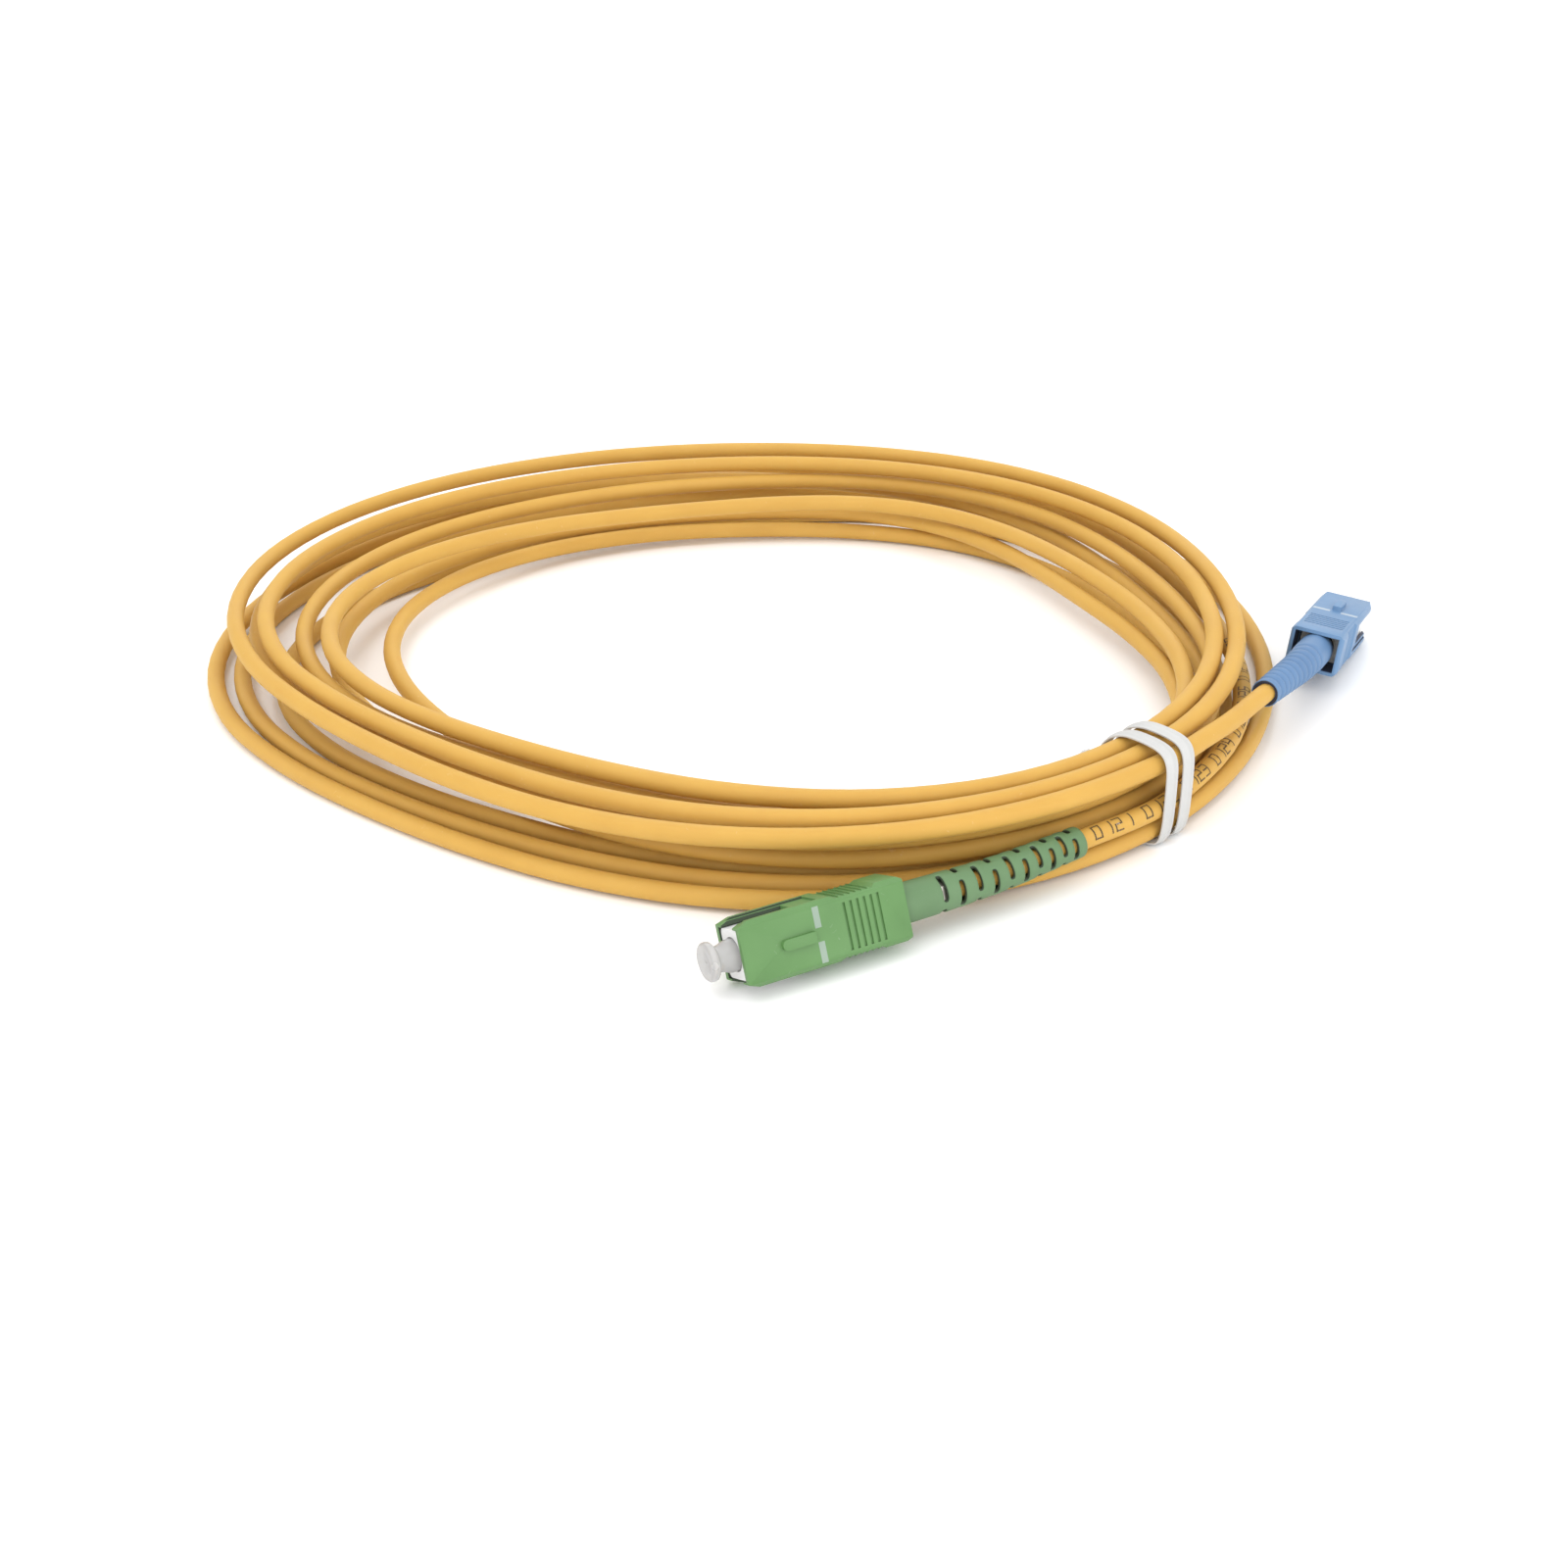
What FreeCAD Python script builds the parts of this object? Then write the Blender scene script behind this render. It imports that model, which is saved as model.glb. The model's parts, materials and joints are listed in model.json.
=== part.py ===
"""Simplex fibre optic patch cord, SC/APC to SC/UPC, coiled and tied. Sizes in millimetres.

The cord stands on z = 0. X runs to the right and Y away from the viewer. Each plug has its
own axes: x along the fibre towards the ferrule's tip, from the grip's rear face, y across the
wide face and z out of the face that carries the key.
"""
import FreeCAD
import Part
import math
import os

Vector = FreeCAD.Vector
UP = Vector(0, 0, 1)
ALONG = Vector(1, 0, 0)
ORIGIN = Vector(0, 0, 0)

# Jacketed cable
CORD_D = 3.0
BUFFER_D = 0.9
BUFFER_BORE_D = 1.0
FIBRE_D = 0.125
CORD_SIDES = 5
FIBRE_BORE_D = 0.14
# Facets round every small round piece and bore
ROUND_SIDES = 16
# How far a cutter runs past the face it opens
OVERCUT = 1.0
# Gap between pieces that rest against each other
HAIR = 0.02

# Coil, about its own centre
COIL_CENTRE = Vector(-4.7, 6.3, 0)
COIL_R = 81.3
OVAL = 5.4
OVAL_ANGLE = math.radians(-38)
LOBE = 3.4
LOBE_ANGLE = math.radians(50)
TIE_ANGLE = math.radians(-49)
FAR_ANGLE = math.radians(75)
TURN_PITCH = 3.5
# The lowest centre line, which keeps the corners of the faceted cord off the floor
COIL_BASE = 1.63
FAN = 6.0
FAN_LEAN = 0.75
TIE_LIFT = 0.75
# Column and layer that each pass of the cord takes inside the tie; column 1 is the middle one
PASSES = ((0, 1), (0, 0), (1, 0), (2, 0), (2, 1), (1, 1), (1, 2), (2, 2), (2, 3), (1, 3), (-0.3, 2))
# Columns by which a turn bulges sideways where its spiral reverses
BULGES = (-0.5, 0, 0, 0.5, 0, -0.5, 0, 0.5, 0, -0.25)
# How far each layer lies outside the bundle's middle where the turns fan out
LAYER_SHIFT = (1.5, -2.0, 2.0, -1.5)
# How far each loose turn stands out on the right, opposite the tie and on the left
TURN_SLACK = (
    (-0.4, 1.0, 0.0),
    (4.5, 2.0, 0.0),
    (-2.5, -3.5, 0.0),
    (-10.5, 0.0, -7.0),
    (-8.5, -4.5, -1.0),
    (-3.0, 1.5, -3.0),
    (-4.5, 0.0, -1.5),
    (-10.0, -5.0, 1.5),
    (-6.5, 3.0, -0.5),
    (0.0, 3.0, -2.5),
)
# Where along a turn those two swells stand, and how far each reaches, as shares of the turn
RIGHT_SWELL = 0.18
RIGHT_SWELL_HALF = 0.18
LEFT_SWELL = 0.65
LEFT_SWELL_HALF = 0.25
TURNS = len(PASSES) - 1
ARCS_PER_TURN = 4
# Share of a turn before the cord starts to change its layer, and the share in which it does
LAYER_CHANGE_START = 0.25
LAYER_CHANGE_SPAN = 0.5
# Share of the shorter straight run that a rounded corner takes up
CORNER_SHARE = 0.45

# Where each plug lies: the middle of its grip's rear face, then yaw, pitch and roll in degrees
GREEN_PLACE = (Vector(13.4, -89.9, 5.42), 207.0, 0.0, -68.5)
BLUE_PLACE = (Vector(88.5, -13.5, 7.4), 63.8, -7.4, 6.6)
# Route of each lead, between two points on the plug's axis and two on the coil's end
GREEN_ROUTE = (Vector(28.5, -82.1, 5.45), Vector(35.5, -78.2, 5.7), Vector(42.3, -73.9, 5.9))
BLUE_ROUTE = (Vector(78.7, -30.4, 9.8), Vector(72.9, -39.1, 10.7), Vector(67.7, -48.1, 10.6))

# Grip, the outer shell that slides on the plug
GRIP_L = 25.0
GRIP_W = 9.0
GRIP_H = 7.4
WAIST_W = 8.2
TAIL_W = 8.3
TAIL_H = 7.2
STOP_BLOCK_X = 4.6
WAIST_X = 10.4
SHOULDER = 0.6
TEETH = 6
TOOTH_PITCH = 0.9
TOOTH_H = 0.2
TOOTH_LEAD = 0.2
EDGE = 0.65
FRAME_EDGE = 0.45
NOSE_CUT_L = 1.7
NOSE_CUT_W = 0.7
CHANNEL_L = 12.5
CHANNEL_W = 4.7
CHANNEL_DEPTH = 0.3
GROOVE_COUNT = 6
GROOVE_PITCH = 1.04
GROOVE_X = 3.9
GROOVE_W = 0.4
GROOVE_DEPTH = 0.25
GROOVE_L = 6.6
KEY_X = 14.4
KEY_L = 5.0
KEY_W = 1.5
KEY_H = 0.7
WINDOW_L = 9.0
WINDOW_W = 3.7
LUG_X = 8.75
LUG_L = 2.0
LUG_W = 2.0
LUG_DEPTH = 0.4
LUG_ROOT = 0.2
LUG_GAP = 0.05
LUG_SIDE_GAP = 0.2
GRIP_TRAVEL = 1.8
GRIP_BORE_FIT = 0.1
GRIP_REAR_W = 7.4
GRIP_REAR_H = 5.9
GRIP_REAR_L = 4.5

# Plug frame, the inner housing
FRAME_W = 6.9
FRAME_H = 5.5
FRAME_X = 5.0
FRAME_FRONT = 24.8
MOUTH_D = 4.7
MOUTH_L = 5.4
SEAT_WALL = 0.8
FLANGE_FRONT = FRAME_FRONT - MOUTH_L - SEAT_WALL - HAIR
SEAT_HOLE_D = 2.7
CHAMBER_D = 4.5
CATCH_X = 17.6
CATCH_L = 3.4
CATCH_DEPTH = 0.55
CATCH_FLAT = 0.6

# Ferrule and what carries it
FERRULE_D = 2.499
FERRULE_L = 10.5
FERRULE_TIP = 26.0
TIP_BEVEL = 0.4
TIP_ANGLE = 8.0
TIP_SETBACK = 0.05
DOME_H = 0.06
FLANGE_FLATS = 3.5
FLANGE_L = 3.4
FLANGE_TUBE_D = 2.1
FLANGE_TUBE_L = 4.0
SPRING_WIRE = 0.45
SPRING_D = 2.75
SPRING_END_GAP = 0.1
SPRING_CURLS = 5
SPRING_SIDES = 8

# Stop ring, crimp sleeve and yarn
STOP_FRONT = 10.9
STOP_D = 4.4
STOP_BORE_D = 2.5
STOP_LIP_D = 5.2
STOP_LIP_L = 1.4
RIDGE_X = 7.5
RIDGE_L = 0.8
RIDGE_D = 4.7
RIDGE_GAP = 0.2
STOP_CONE_L = 0.6
BARREL_D = 2.8
BARREL_BORE_D = 1.3
BARREL_END = -3.0
SLEEVE_FLATS = 3.8
SLEEVE_WALL = 0.14
SLEEVE_FRONT = 3.2
SLEEVE_END = -7.2
YARN_FLATS = 3.46
YARN_END = -2.6
YARN_SETBACK = 0.1
YARN_BORE_D = 2.83

# Boot
BOOT_FRONT = 2.6
BOOT_ROOT_D = 5.3
BOOT_ROOT_BORE_D = 4.7
BOOT_ROOT_CONE_L = 1.0
BOOT_BORE_GAP = 0.375
BOOT_BORE_D = CORD_D + 2 * BOOT_BORE_GAP
BOOT_END_WALL = 0.275
BOOT_END_D = BOOT_BORE_D + 2 * BOOT_END_WALL
BOOT_L = 26.5
BOOT_PLAIN_L = 5.0
BOOT_STATIONS = 10
BOOT_FIRST_STEP = 2.35
BOOT_LAST_STEP = 1.55
BOOT_SIDES = 10
BOOT_SLOT_W = 0.6
BOOT_SLOT_ARC = 75
BOOT_SLOTS = 3
SLOT_ANGLES = (12, -28)
BOOT_RING_L = 0.9
BOOT_RING_DEPTH = 0.22

# Cable inside the plug
CORD_START = -3.2
CORD_BORE_D = 1.3
CORD_BORE_L = 4.2
CORD_KNEE = -9.0
BUFFER_REACH = 3.0
FIBRE_SETBACK = 0.25

# Dust cap
CAP_REAR = 20.6
CAP_FRONT = 30.8
CAP_SLEEVE_D = 4.1
CAP_NECK_D = 3.3
CAP_FLARE = 0.7
CAP_DISC_D = 5.3
CAP_DISC_L = 0.9
CAP_BORE_D = 2.55
CAP_BORE_END = 26.4
CAP_NECK_X = 28.0

# Twist tie: its loop as outward and upward distances from the middle column at the floor
TIE_LOOP = ((-9.0, 0.31), (5.9, 0.31), (7.9, 9.4), (2.8, 15.3), (-5.6, 15.3), (-9.4, 8.6))
TIE_FIRST_TAIL = ((-15.0, 4.9), (-10.6, 4.3))
TIE_LAST_TAIL = ((-10.6, 6.3), (-15.0, 6.5))
TIE_WRAPS = 2
TIE_W = 2.2
TIE_T = 0.6
TIE_PITCH = 2.9
TIE_BEND_R = 2.4
TIE_WIRE = 0.36


def smooth_step(value):
    """Rise from 0 to 1, level at both ends."""
    value = min(max(value, 0.0), 1.0)
    return value * value * (3 - 2 * value)


def layer_at(turn, share):
    """The layer, which changes in the middle half of a turn."""
    low = PASSES[turn][1]
    high = PASSES[turn + 1][1]
    return low + (high - low) * smooth_step((share - LAYER_CHANGE_START) / LAYER_CHANGE_SPAN)


def swell(share, middle, half):
    """A soft bump from 0 up to 1 at the middle share of a turn and back to 0."""
    offset = min(abs(share - middle) / half, 1.0)
    return math.cos(math.pi / 2 * offset) ** 2


def coil_point(place):
    """A point of the coiled cord's centre line; place counts turns from the tie."""
    turn = min(int(place), TURNS - 1)
    share = place - turn
    angle = TIE_ANGLE + 2 * math.pi * share
    column = PASSES[turn][0] + (PASSES[turn + 1][0] - PASSES[turn][0]) * share
    column += BULGES[turn] * math.sin(math.pi * share)
    loose = (1 - math.cos(angle - TIE_ANGLE)) / 2
    fan = loose * (1 + FAN_LEAN * math.cos(angle - FAR_ANGLE))
    layer = layer_at(turn, share)
    lower = min(int(layer), len(LAYER_SHIFT) - 2)
    shift = LAYER_SHIFT[lower] + (LAYER_SHIFT[lower + 1] - LAYER_SHIFT[lower]) * (layer - lower)
    right, far, left = TURN_SLACK[turn]
    radius = COIL_R + OVAL * math.cos(2 * (angle - OVAL_ANGLE))
    radius += LOBE * math.cos(3 * (angle - LOBE_ANGLE))
    radius += (1 - column) * (TURN_PITCH + FAN * fan) + shift * fan
    radius += right * swell(share, RIGHT_SWELL, RIGHT_SWELL_HALF)
    radius += far * loose ** 2
    radius += left * swell(share, LEFT_SWELL, LEFT_SWELL_HALF)
    lift = TIE_LIFT * (1 - smooth_step(4 * min(share, 1 - share)))
    height = COIL_BASE + TURN_PITCH * layer + lift
    return COIL_CENTRE + Vector(radius * math.cos(angle), radius * math.sin(angle), height)


def coil_direction(place):
    """The unit direction of the coiled cord at a place."""
    step = 0.001
    before = coil_point(max(place - step, 0))
    after = coil_point(min(place + step, TURNS))
    return (after - before).normalize()


def arc_from_corner(start, corner, end):
    """The arc that leaves start towards corner and arrives at end from it."""
    middle = (start + end) * 0.5
    height = (corner - middle).Length
    half = (end - start).Length / 2
    if height < 1e-4:
        return Part.LineSegment(start, end).toShape()
    sagitta = half * math.tan(math.atan2(height, half) / 2)
    return Part.Arc(start, middle + (corner - middle) * (sagitta / height), end).toShape()


def biarc(start, leave, end, arrive):
    """Two arcs in space that join two points and keep both directions."""
    gap = end - start
    a = 2 * (1 - leave.dot(arrive))
    b = 2 * gap.dot(leave + arrive)
    c = -gap.dot(gap)
    reach = (-b + math.sqrt(b * b - 4 * a * c)) / (2 * a)
    first = start + leave * reach
    second = end - arrive * reach
    joint = (first + second) * 0.5
    return [arc_from_corner(start, first, joint), arc_from_corner(joint, second, end)]


def section(point, direction, sides=CORD_SIDES, diameter=CORD_D):
    """A regular cord section with the area of the round one and a flat side down."""
    side = direction.cross(UP).normalize()
    over = side.cross(direction).normalize()
    corner_r = corner_radius(diameter, sides)
    corners = []
    for index in range(sides + 1):
        angle = math.pi / sides + 2 * math.pi * index / sides
        across = side * math.cos(angle) + over * math.sin(angle)
        corners.append(point + across * corner_r)
    return Part.makePolygon(corners)


def sweep(edges, profile):
    """One solid along a chain of edges."""
    return Part.Wire(edges).makePipeShell([profile], True, False)


def coil_edges():
    """The coil's path: quarter turn biarcs with a straight end of one diameter each side."""
    count = TURNS * ARCS_PER_TURN + 1
    points = [coil_point(index / ARCS_PER_TURN) for index in range(count)]
    directions = [coil_direction(index / ARCS_PER_TURN) for index in range(count)]
    edges = [Part.LineSegment(points[0] - directions[0] * CORD_D, points[0]).toShape()]
    for index in range(count - 1):
        edges += biarc(points[index], directions[index], points[index + 1], directions[index + 1])
    edges.append(Part.LineSegment(points[-1], points[-1] + directions[-1] * CORD_D).toShape())
    return edges


def least_gap(edges, spacing=1.5):
    """The least gap between stretches of a cord that are over a third of a turn apart along it."""
    points = []
    for edge in edges:
        count = max(2, int(edge.Length / spacing))
        points += edge.discretize(count + 1)[:-1]
    apart = int(2 * COIL_R / spacing)
    cell = 6.0
    cells = {}
    least = COIL_R
    for index, point in enumerate(points):
        home = (int(point.x // cell), int(point.y // cell), int(point.z // cell))
        for dx in (-1, 0, 1):
            for dy in (-1, 0, 1):
                for dz in (-1, 0, 1):
                    for other in cells.get((home[0] + dx, home[1] + dy, home[2] + dz), ()):
                        if index - other > apart:
                            least = min(least, (point - points[other]).Length)
        cells.setdefault(home, []).append(index)
    return least - CORD_D


def rounded_edges(name, points, largest=None):
    """Straight runs joined by tangent arcs, each as large as its two runs allow."""
    edges = []
    radii = []
    last = points[0]
    for index in range(1, len(points) - 1):
        before = points[index] - points[index - 1]
        after = points[index + 1] - points[index]
        turn = before.getAngle(after)
        reach = CORNER_SHARE * min(before.Length, after.Length)
        if largest is not None:
            reach = min(reach, largest * math.tan(turn / 2))
        radii.append(reach / math.tan(turn / 2))
        entry = points[index] - before.normalize() * reach
        leave = points[index] + after.normalize() * reach
        edges.append(Part.LineSegment(last, entry).toShape())
        edges.append(arc_from_corner(entry, points[index], leave))
        last = leave
    edges.append(Part.LineSegment(last, points[-1]).toShape())
    print(name, "radii", [round(radius, 1) for radius in radii])
    return edges


def place_at(edges, distance):
    """The point and direction at a distance along a chain of edges."""
    for edge in edges:
        if distance <= edge.Length:
            parameter = edge.getParameterByLength(distance)
            return edge.valueAt(parameter), edge.tangentAt(parameter)
        distance -= edge.Length
    edge = edges[-1]
    return edge.valueAt(edge.LastParameter), edge.tangentAt(edge.LastParameter)


def corner_radius(diameter, sides):
    """The corner radius of a regular polygon with the area of a circle."""
    return diameter / 2 * math.sqrt(2 * math.pi / (sides * math.sin(2 * math.pi / sides)))


def turned(outline):
    """A faceted solid of revolution about the plug's axis from (x, diameter) corners."""
    faces = []
    turn = 2 * math.pi / ROUND_SIDES
    for index, (x, diameter) in enumerate(outline):
        next_x, next_diameter = outline[(index + 1) % len(outline)]
        ways_round = ((x, diameter, 0), (x, diameter, 1))
        ways_round += ((next_x, next_diameter, 1), (next_x, next_diameter, 0))
        for side in range(ROUND_SIDES if diameter or next_diameter else 0):
            corners = []
            for at, across, step in ways_round:
                radius = corner_radius(across, ROUND_SIDES)
                angle = turn * (side + step + 0.5)
                corner = Vector(at, radius * math.cos(angle), radius * math.sin(angle))
                if not corners or not corner.isEqual(corners[-1], 1e-6):
                    corners.append(corner)
            faces.append(Part.Face(Part.makePolygon(corners + corners[:1])))
    solid = Part.Solid(Part.Shell(faces))
    if solid.Volume < 0:
        solid.reverse()
    return solid.removeSplitter()


def rod(start, end, diameter):
    """A round bar along the plug's axis."""
    return turned([(start, 0), (start, diameter), (end, diameter), (end, 0)])


def block(x0, x1, width, height, z=0.0, y=0.0):
    """A box centred on y and z."""
    return Part.makeBox(x1 - x0, width, height, Vector(x0, y - width / 2, z - height / 2))


def grip_shape():
    """The outer shell: a tapering, waisted sleeve with its key, grooves, side windows and lugs."""
    half = GRIP_W / 2
    waist = WAIST_W / 2
    side = [(0, TAIL_W / 2), (SHOULDER, half), (STOP_BLOCK_X - SHOULDER, half), (STOP_BLOCK_X, waist)]
    for index in range(TEETH):
        x = STOP_BLOCK_X + TOOTH_PITCH * (index + TOOTH_LEAD)
        side += [(x, waist), (x + TOOTH_PITCH / 2, waist + TOOTH_H), (x + TOOTH_PITCH / 2, waist)]
    side += [(WAIST_X, waist), (WAIST_X + SHOULDER, half)]
    side += [(GRIP_L - NOSE_CUT_L, half), (GRIP_L, half - NOSE_CUT_W)]
    side += [(x, -y) for x, y in reversed(side)]
    plan = [Vector(x, y, -GRIP_H) for x, y in side]
    solid = Part.Face(Part.makePolygon(plan + plan[:1])).extrude(Vector(0, 0, 2 * GRIP_H))
    front = chamfered_section(GRIP_L, GRIP_W, GRIP_H, EDGE)
    rear = chamfered_section(0, GRIP_W, TAIL_H, EDGE)
    solid = solid.common(Part.makeLoft([rear, front], True, True))
    nose_x = KEY_X + KEY_L - KEY_W / 2
    key = block(KEY_X, nose_x, KEY_W, 2 * KEY_H, GRIP_H / 2)
    key = key.fuse(Part.makeCylinder(KEY_W / 2, 2 * KEY_H, Vector(nose_x, 0, GRIP_H / 2 - KEY_H)))
    solid = solid.fuse(key).removeSplitter()
    bore_w = FRAME_W + 2 * GRIP_BORE_FIT
    bore_h = FRAME_H + 2 * GRIP_BORE_FIT
    cuts = [block(-OVERCUT, GRIP_L + OVERCUT, bore_w, bore_h)]
    cuts.append(block(-OVERCUT, GRIP_REAR_L, GRIP_REAR_W, GRIP_REAR_H))
    for face in (-1, 1):
        window_y = face * (bore_w + GRIP_W) / 2
        cuts.append(block(GRIP_L - WINDOW_L, GRIP_L + OVERCUT, GRIP_W, WINDOW_W, 0, window_y))
        channel_y = face * (half - CHANNEL_DEPTH + GRIP_W / 2)
        cuts.append(block(GRIP_L - CHANNEL_L, GRIP_L + OVERCUT, GRIP_W, CHANNEL_W, 0, channel_y))
        groove_z = face * (TAIL_H / 2 - GROOVE_DEPTH + OVERCUT / 2)
        for index in range(GROOVE_COUNT):
            x = GROOVE_X + GROOVE_PITCH * index
            cuts.append(block(x, x + GROOVE_W, GROOVE_L, OVERCUT, groove_z))
    solid = solid.cut(cuts)
    for face in (-1, 1):
        middle = face * (bore_w - LUG_DEPTH + LUG_ROOT) / 2
        solid = solid.fuse(block(LUG_X, LUG_X + LUG_L, LUG_DEPTH + LUG_ROOT, LUG_W, 0, middle))
    return solid.removeSplitter()


def chamfered_section(x, width, height, cut):
    """A rectangle with cut corners, square to the plug's axis."""
    half_w = width / 2
    half_h = height / 2
    quarter = [(half_w, half_h - cut), (half_w - cut, half_h)]
    corners = quarter + [(-y, z) for y, z in reversed(quarter)]
    corners += [(-y, -z) for y, z in quarter] + [(y, -z) for y, z in reversed(quarter)]
    return Part.makePolygon([Vector(x, y, z) for y, z in corners + corners[:1]])


def frame_shape():
    """The inner housing: mouth, ferrule seat, spring chamber, catches and the slots for the lugs."""
    ends = [chamfered_section(x, FRAME_W, FRAME_H, FRAME_EDGE) for x in (FRAME_X, FRAME_FRONT)]
    body = Part.makeLoft(ends, True, True)
    seat = FRAME_FRONT - MOUTH_L
    cuts = [rod(seat, FRAME_FRONT + OVERCUT, MOUTH_D), rod(FRAME_X, FRAME_FRONT, SEAT_HOLE_D)]
    cuts.append(rod(FRAME_X - OVERCUT, seat - SEAT_WALL, CHAMBER_D))
    cuts.append(rod(RIDGE_X - RIDGE_GAP, RIDGE_X + RIDGE_L + RIDGE_GAP, RIDGE_D + RIDGE_GAP))
    slot_x0 = LUG_X - GRIP_TRAVEL - LUG_GAP
    slot_x1 = LUG_X + LUG_L + LUG_GAP
    slot_depth = LUG_DEPTH - GRIP_BORE_FIT + 2 * LUG_GAP
    for side in (-1, 1):
        y = side * (FRAME_W / 2)
        cuts.append(block(slot_x0, slot_x1, 2 * slot_depth, LUG_W + 2 * LUG_SIDE_GAP, 0, y))
        ramp = [(0, OVERCUT), (0, -CATCH_DEPTH), (CATCH_FLAT * CATCH_L, -CATCH_DEPTH), (CATCH_L, 0)]
        ramp.append((CATCH_L, OVERCUT))
        ramp = [Vector(CATCH_X + at, y + side * out, -WINDOW_W / 2) for at, out in ramp]
        cuts.append(Part.Face(Part.makePolygon(ramp + ramp[:1])).extrude(Vector(0, 0, WINDOW_W)))
    return body.cut(cuts)


def ferrule_shape(angled):
    """The ceramic ferrule with its fibre hole, bevelled and angled or domed at the tip."""
    rear = FERRULE_TIP - FERRULE_L
    bevel_x = FERRULE_TIP - TIP_BEVEL
    tip_d = FERRULE_D - 2 * TIP_BEVEL
    outline = [(rear, 0), (rear, FERRULE_D), (bevel_x, FERRULE_D)]
    outline += [(FERRULE_TIP, tip_d), (FERRULE_TIP, 0)]
    solid = turned(outline)
    if angled:
        cutter = block(0, FERRULE_D, 2 * FERRULE_D, 2 * FERRULE_D)
        cutter.rotate(ORIGIN, Vector(0, 1, 0), TIP_ANGLE)
        cutter.translate(Vector(FERRULE_TIP - TIP_SETBACK, 0, 0))
        solid = solid.cut(cutter)
    else:
        ball_r = (tip_d / 2) ** 2 / (2 * DOME_H)
        ball = Part.makeSphere(ball_r, Vector(FERRULE_TIP - ball_r, 0, 0))
        solid = solid.cut(rod(bevel_x, FERRULE_TIP + OVERCUT, FERRULE_D).cut(ball))
    return solid.cut(rod(rear - OVERCUT, FERRULE_TIP + OVERCUT, FIBRE_BORE_D))


def hexagon(x, flats):
    """A hexagon square to the plug's axis, from its width across flats."""
    corner_r = flats / math.sqrt(3)
    corners = []
    for index in range(7):
        angle = math.pi / 3 * index
        corners.append(Vector(x, corner_r * math.cos(angle), corner_r * math.sin(angle)))
    return Part.makePolygon(corners)


def hexagonal_bar(start, end, flats):
    """A hexagonal bar along the plug's axis."""
    return Part.makeLoft([hexagon(start, flats), hexagon(end, flats)], True, True)


def flange_shape():
    """The metal collar pressed on the ferrule: hexagonal, with a tube behind it for the buffer."""
    front = FLANGE_FRONT
    rear = front - FLANGE_L
    collar = hexagonal_bar(rear, front, FLANGE_FLATS)
    tube = rod(rear - FLANGE_TUBE_L, rear + OVERCUT, FLANGE_TUBE_D)
    bore = rod(rear - FLANGE_TUBE_L - OVERCUT, FERRULE_TIP, BUFFER_BORE_D)
    return collar.fuse(tube).cut([rod(FERRULE_TIP - FERRULE_L, FERRULE_TIP, FERRULE_D), bore])


def spring_shape():
    """The coil spring behind the flange, of square wire with the area of the round one."""
    start = STOP_FRONT + SPRING_WIRE / 2 + SPRING_END_GAP
    end = FLANGE_FRONT - FLANGE_L - SPRING_WIRE / 2 - SPRING_END_GAP
    half = SPRING_WIRE * math.sqrt(math.pi) / 4
    steps = SPRING_CURLS * SPRING_SIDES
    sections = []
    for index in range(steps + 1):
        angle = 2 * math.pi * index / SPRING_SIDES
        outward = Vector(0, math.cos(angle), math.sin(angle))
        middle = ALONG * (start + (end - start) * index / steps) + outward * (SPRING_D / 2)
        sections.append(rectangle(middle, ALONG * half, outward * half))
    return Part.makeLoft(sections, True, True)


def stop_ring_shape():
    """The rear body: it snaps into the frame, holds the spring and carries the crimp."""
    lip_x = FRAME_X - HAIR
    barrel_x = lip_x - STOP_LIP_L
    outline = [(STOP_FRONT, STOP_BORE_D), (STOP_FRONT, STOP_D), (RIDGE_X + RIDGE_L, STOP_D)]
    outline += [(RIDGE_X, RIDGE_D), (RIDGE_X, STOP_D), (lip_x, STOP_D), (lip_x, STOP_LIP_D)]
    outline += [(barrel_x, STOP_LIP_D), (barrel_x, BARREL_D), (BARREL_END, BARREL_D)]
    outline += [(BARREL_END, BARREL_BORE_D), (lip_x, BARREL_BORE_D)]
    outline.append((lip_x + STOP_CONE_L, STOP_BORE_D))
    return turned(outline)


def crimp_sleeve_shape():
    """The sleeve crimped to a hexagon over the yarn and, behind it, over the jacket."""
    inner = SLEEVE_FLATS - 2 * SLEEVE_WALL
    outside = hexagonal_bar(SLEEVE_END, SLEEVE_FRONT, SLEEVE_FLATS)
    return outside.cut(hexagonal_bar(SLEEVE_END - OVERCUT, SLEEVE_FRONT + OVERCUT, inner))


def yarn_shape():
    """The aramid yarn folded back over the barrel, inside the crimp sleeve."""
    front = SLEEVE_FRONT - YARN_SETBACK
    outside = hexagonal_bar(YARN_END, front, YARN_FLATS)
    return outside.cut(rod(YARN_END - OVERCUT, front + OVERCUT, YARN_BORE_D))


def buffer_shape():
    """The buffered fibre from inside the flange back into the jacket."""
    front = FERRULE_TIP - FERRULE_L - HAIR
    rear = CORD_START - BUFFER_REACH
    return rod(rear, front, BUFFER_D)


def bare_fibre_shape():
    """The stripped glass fibre from the buffer's end to the ferrule's tip."""
    rear = FERRULE_TIP - FERRULE_L - HAIR / 2
    return rod(rear, FERRULE_TIP - FIBRE_SETBACK, FIBRE_D)


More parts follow.
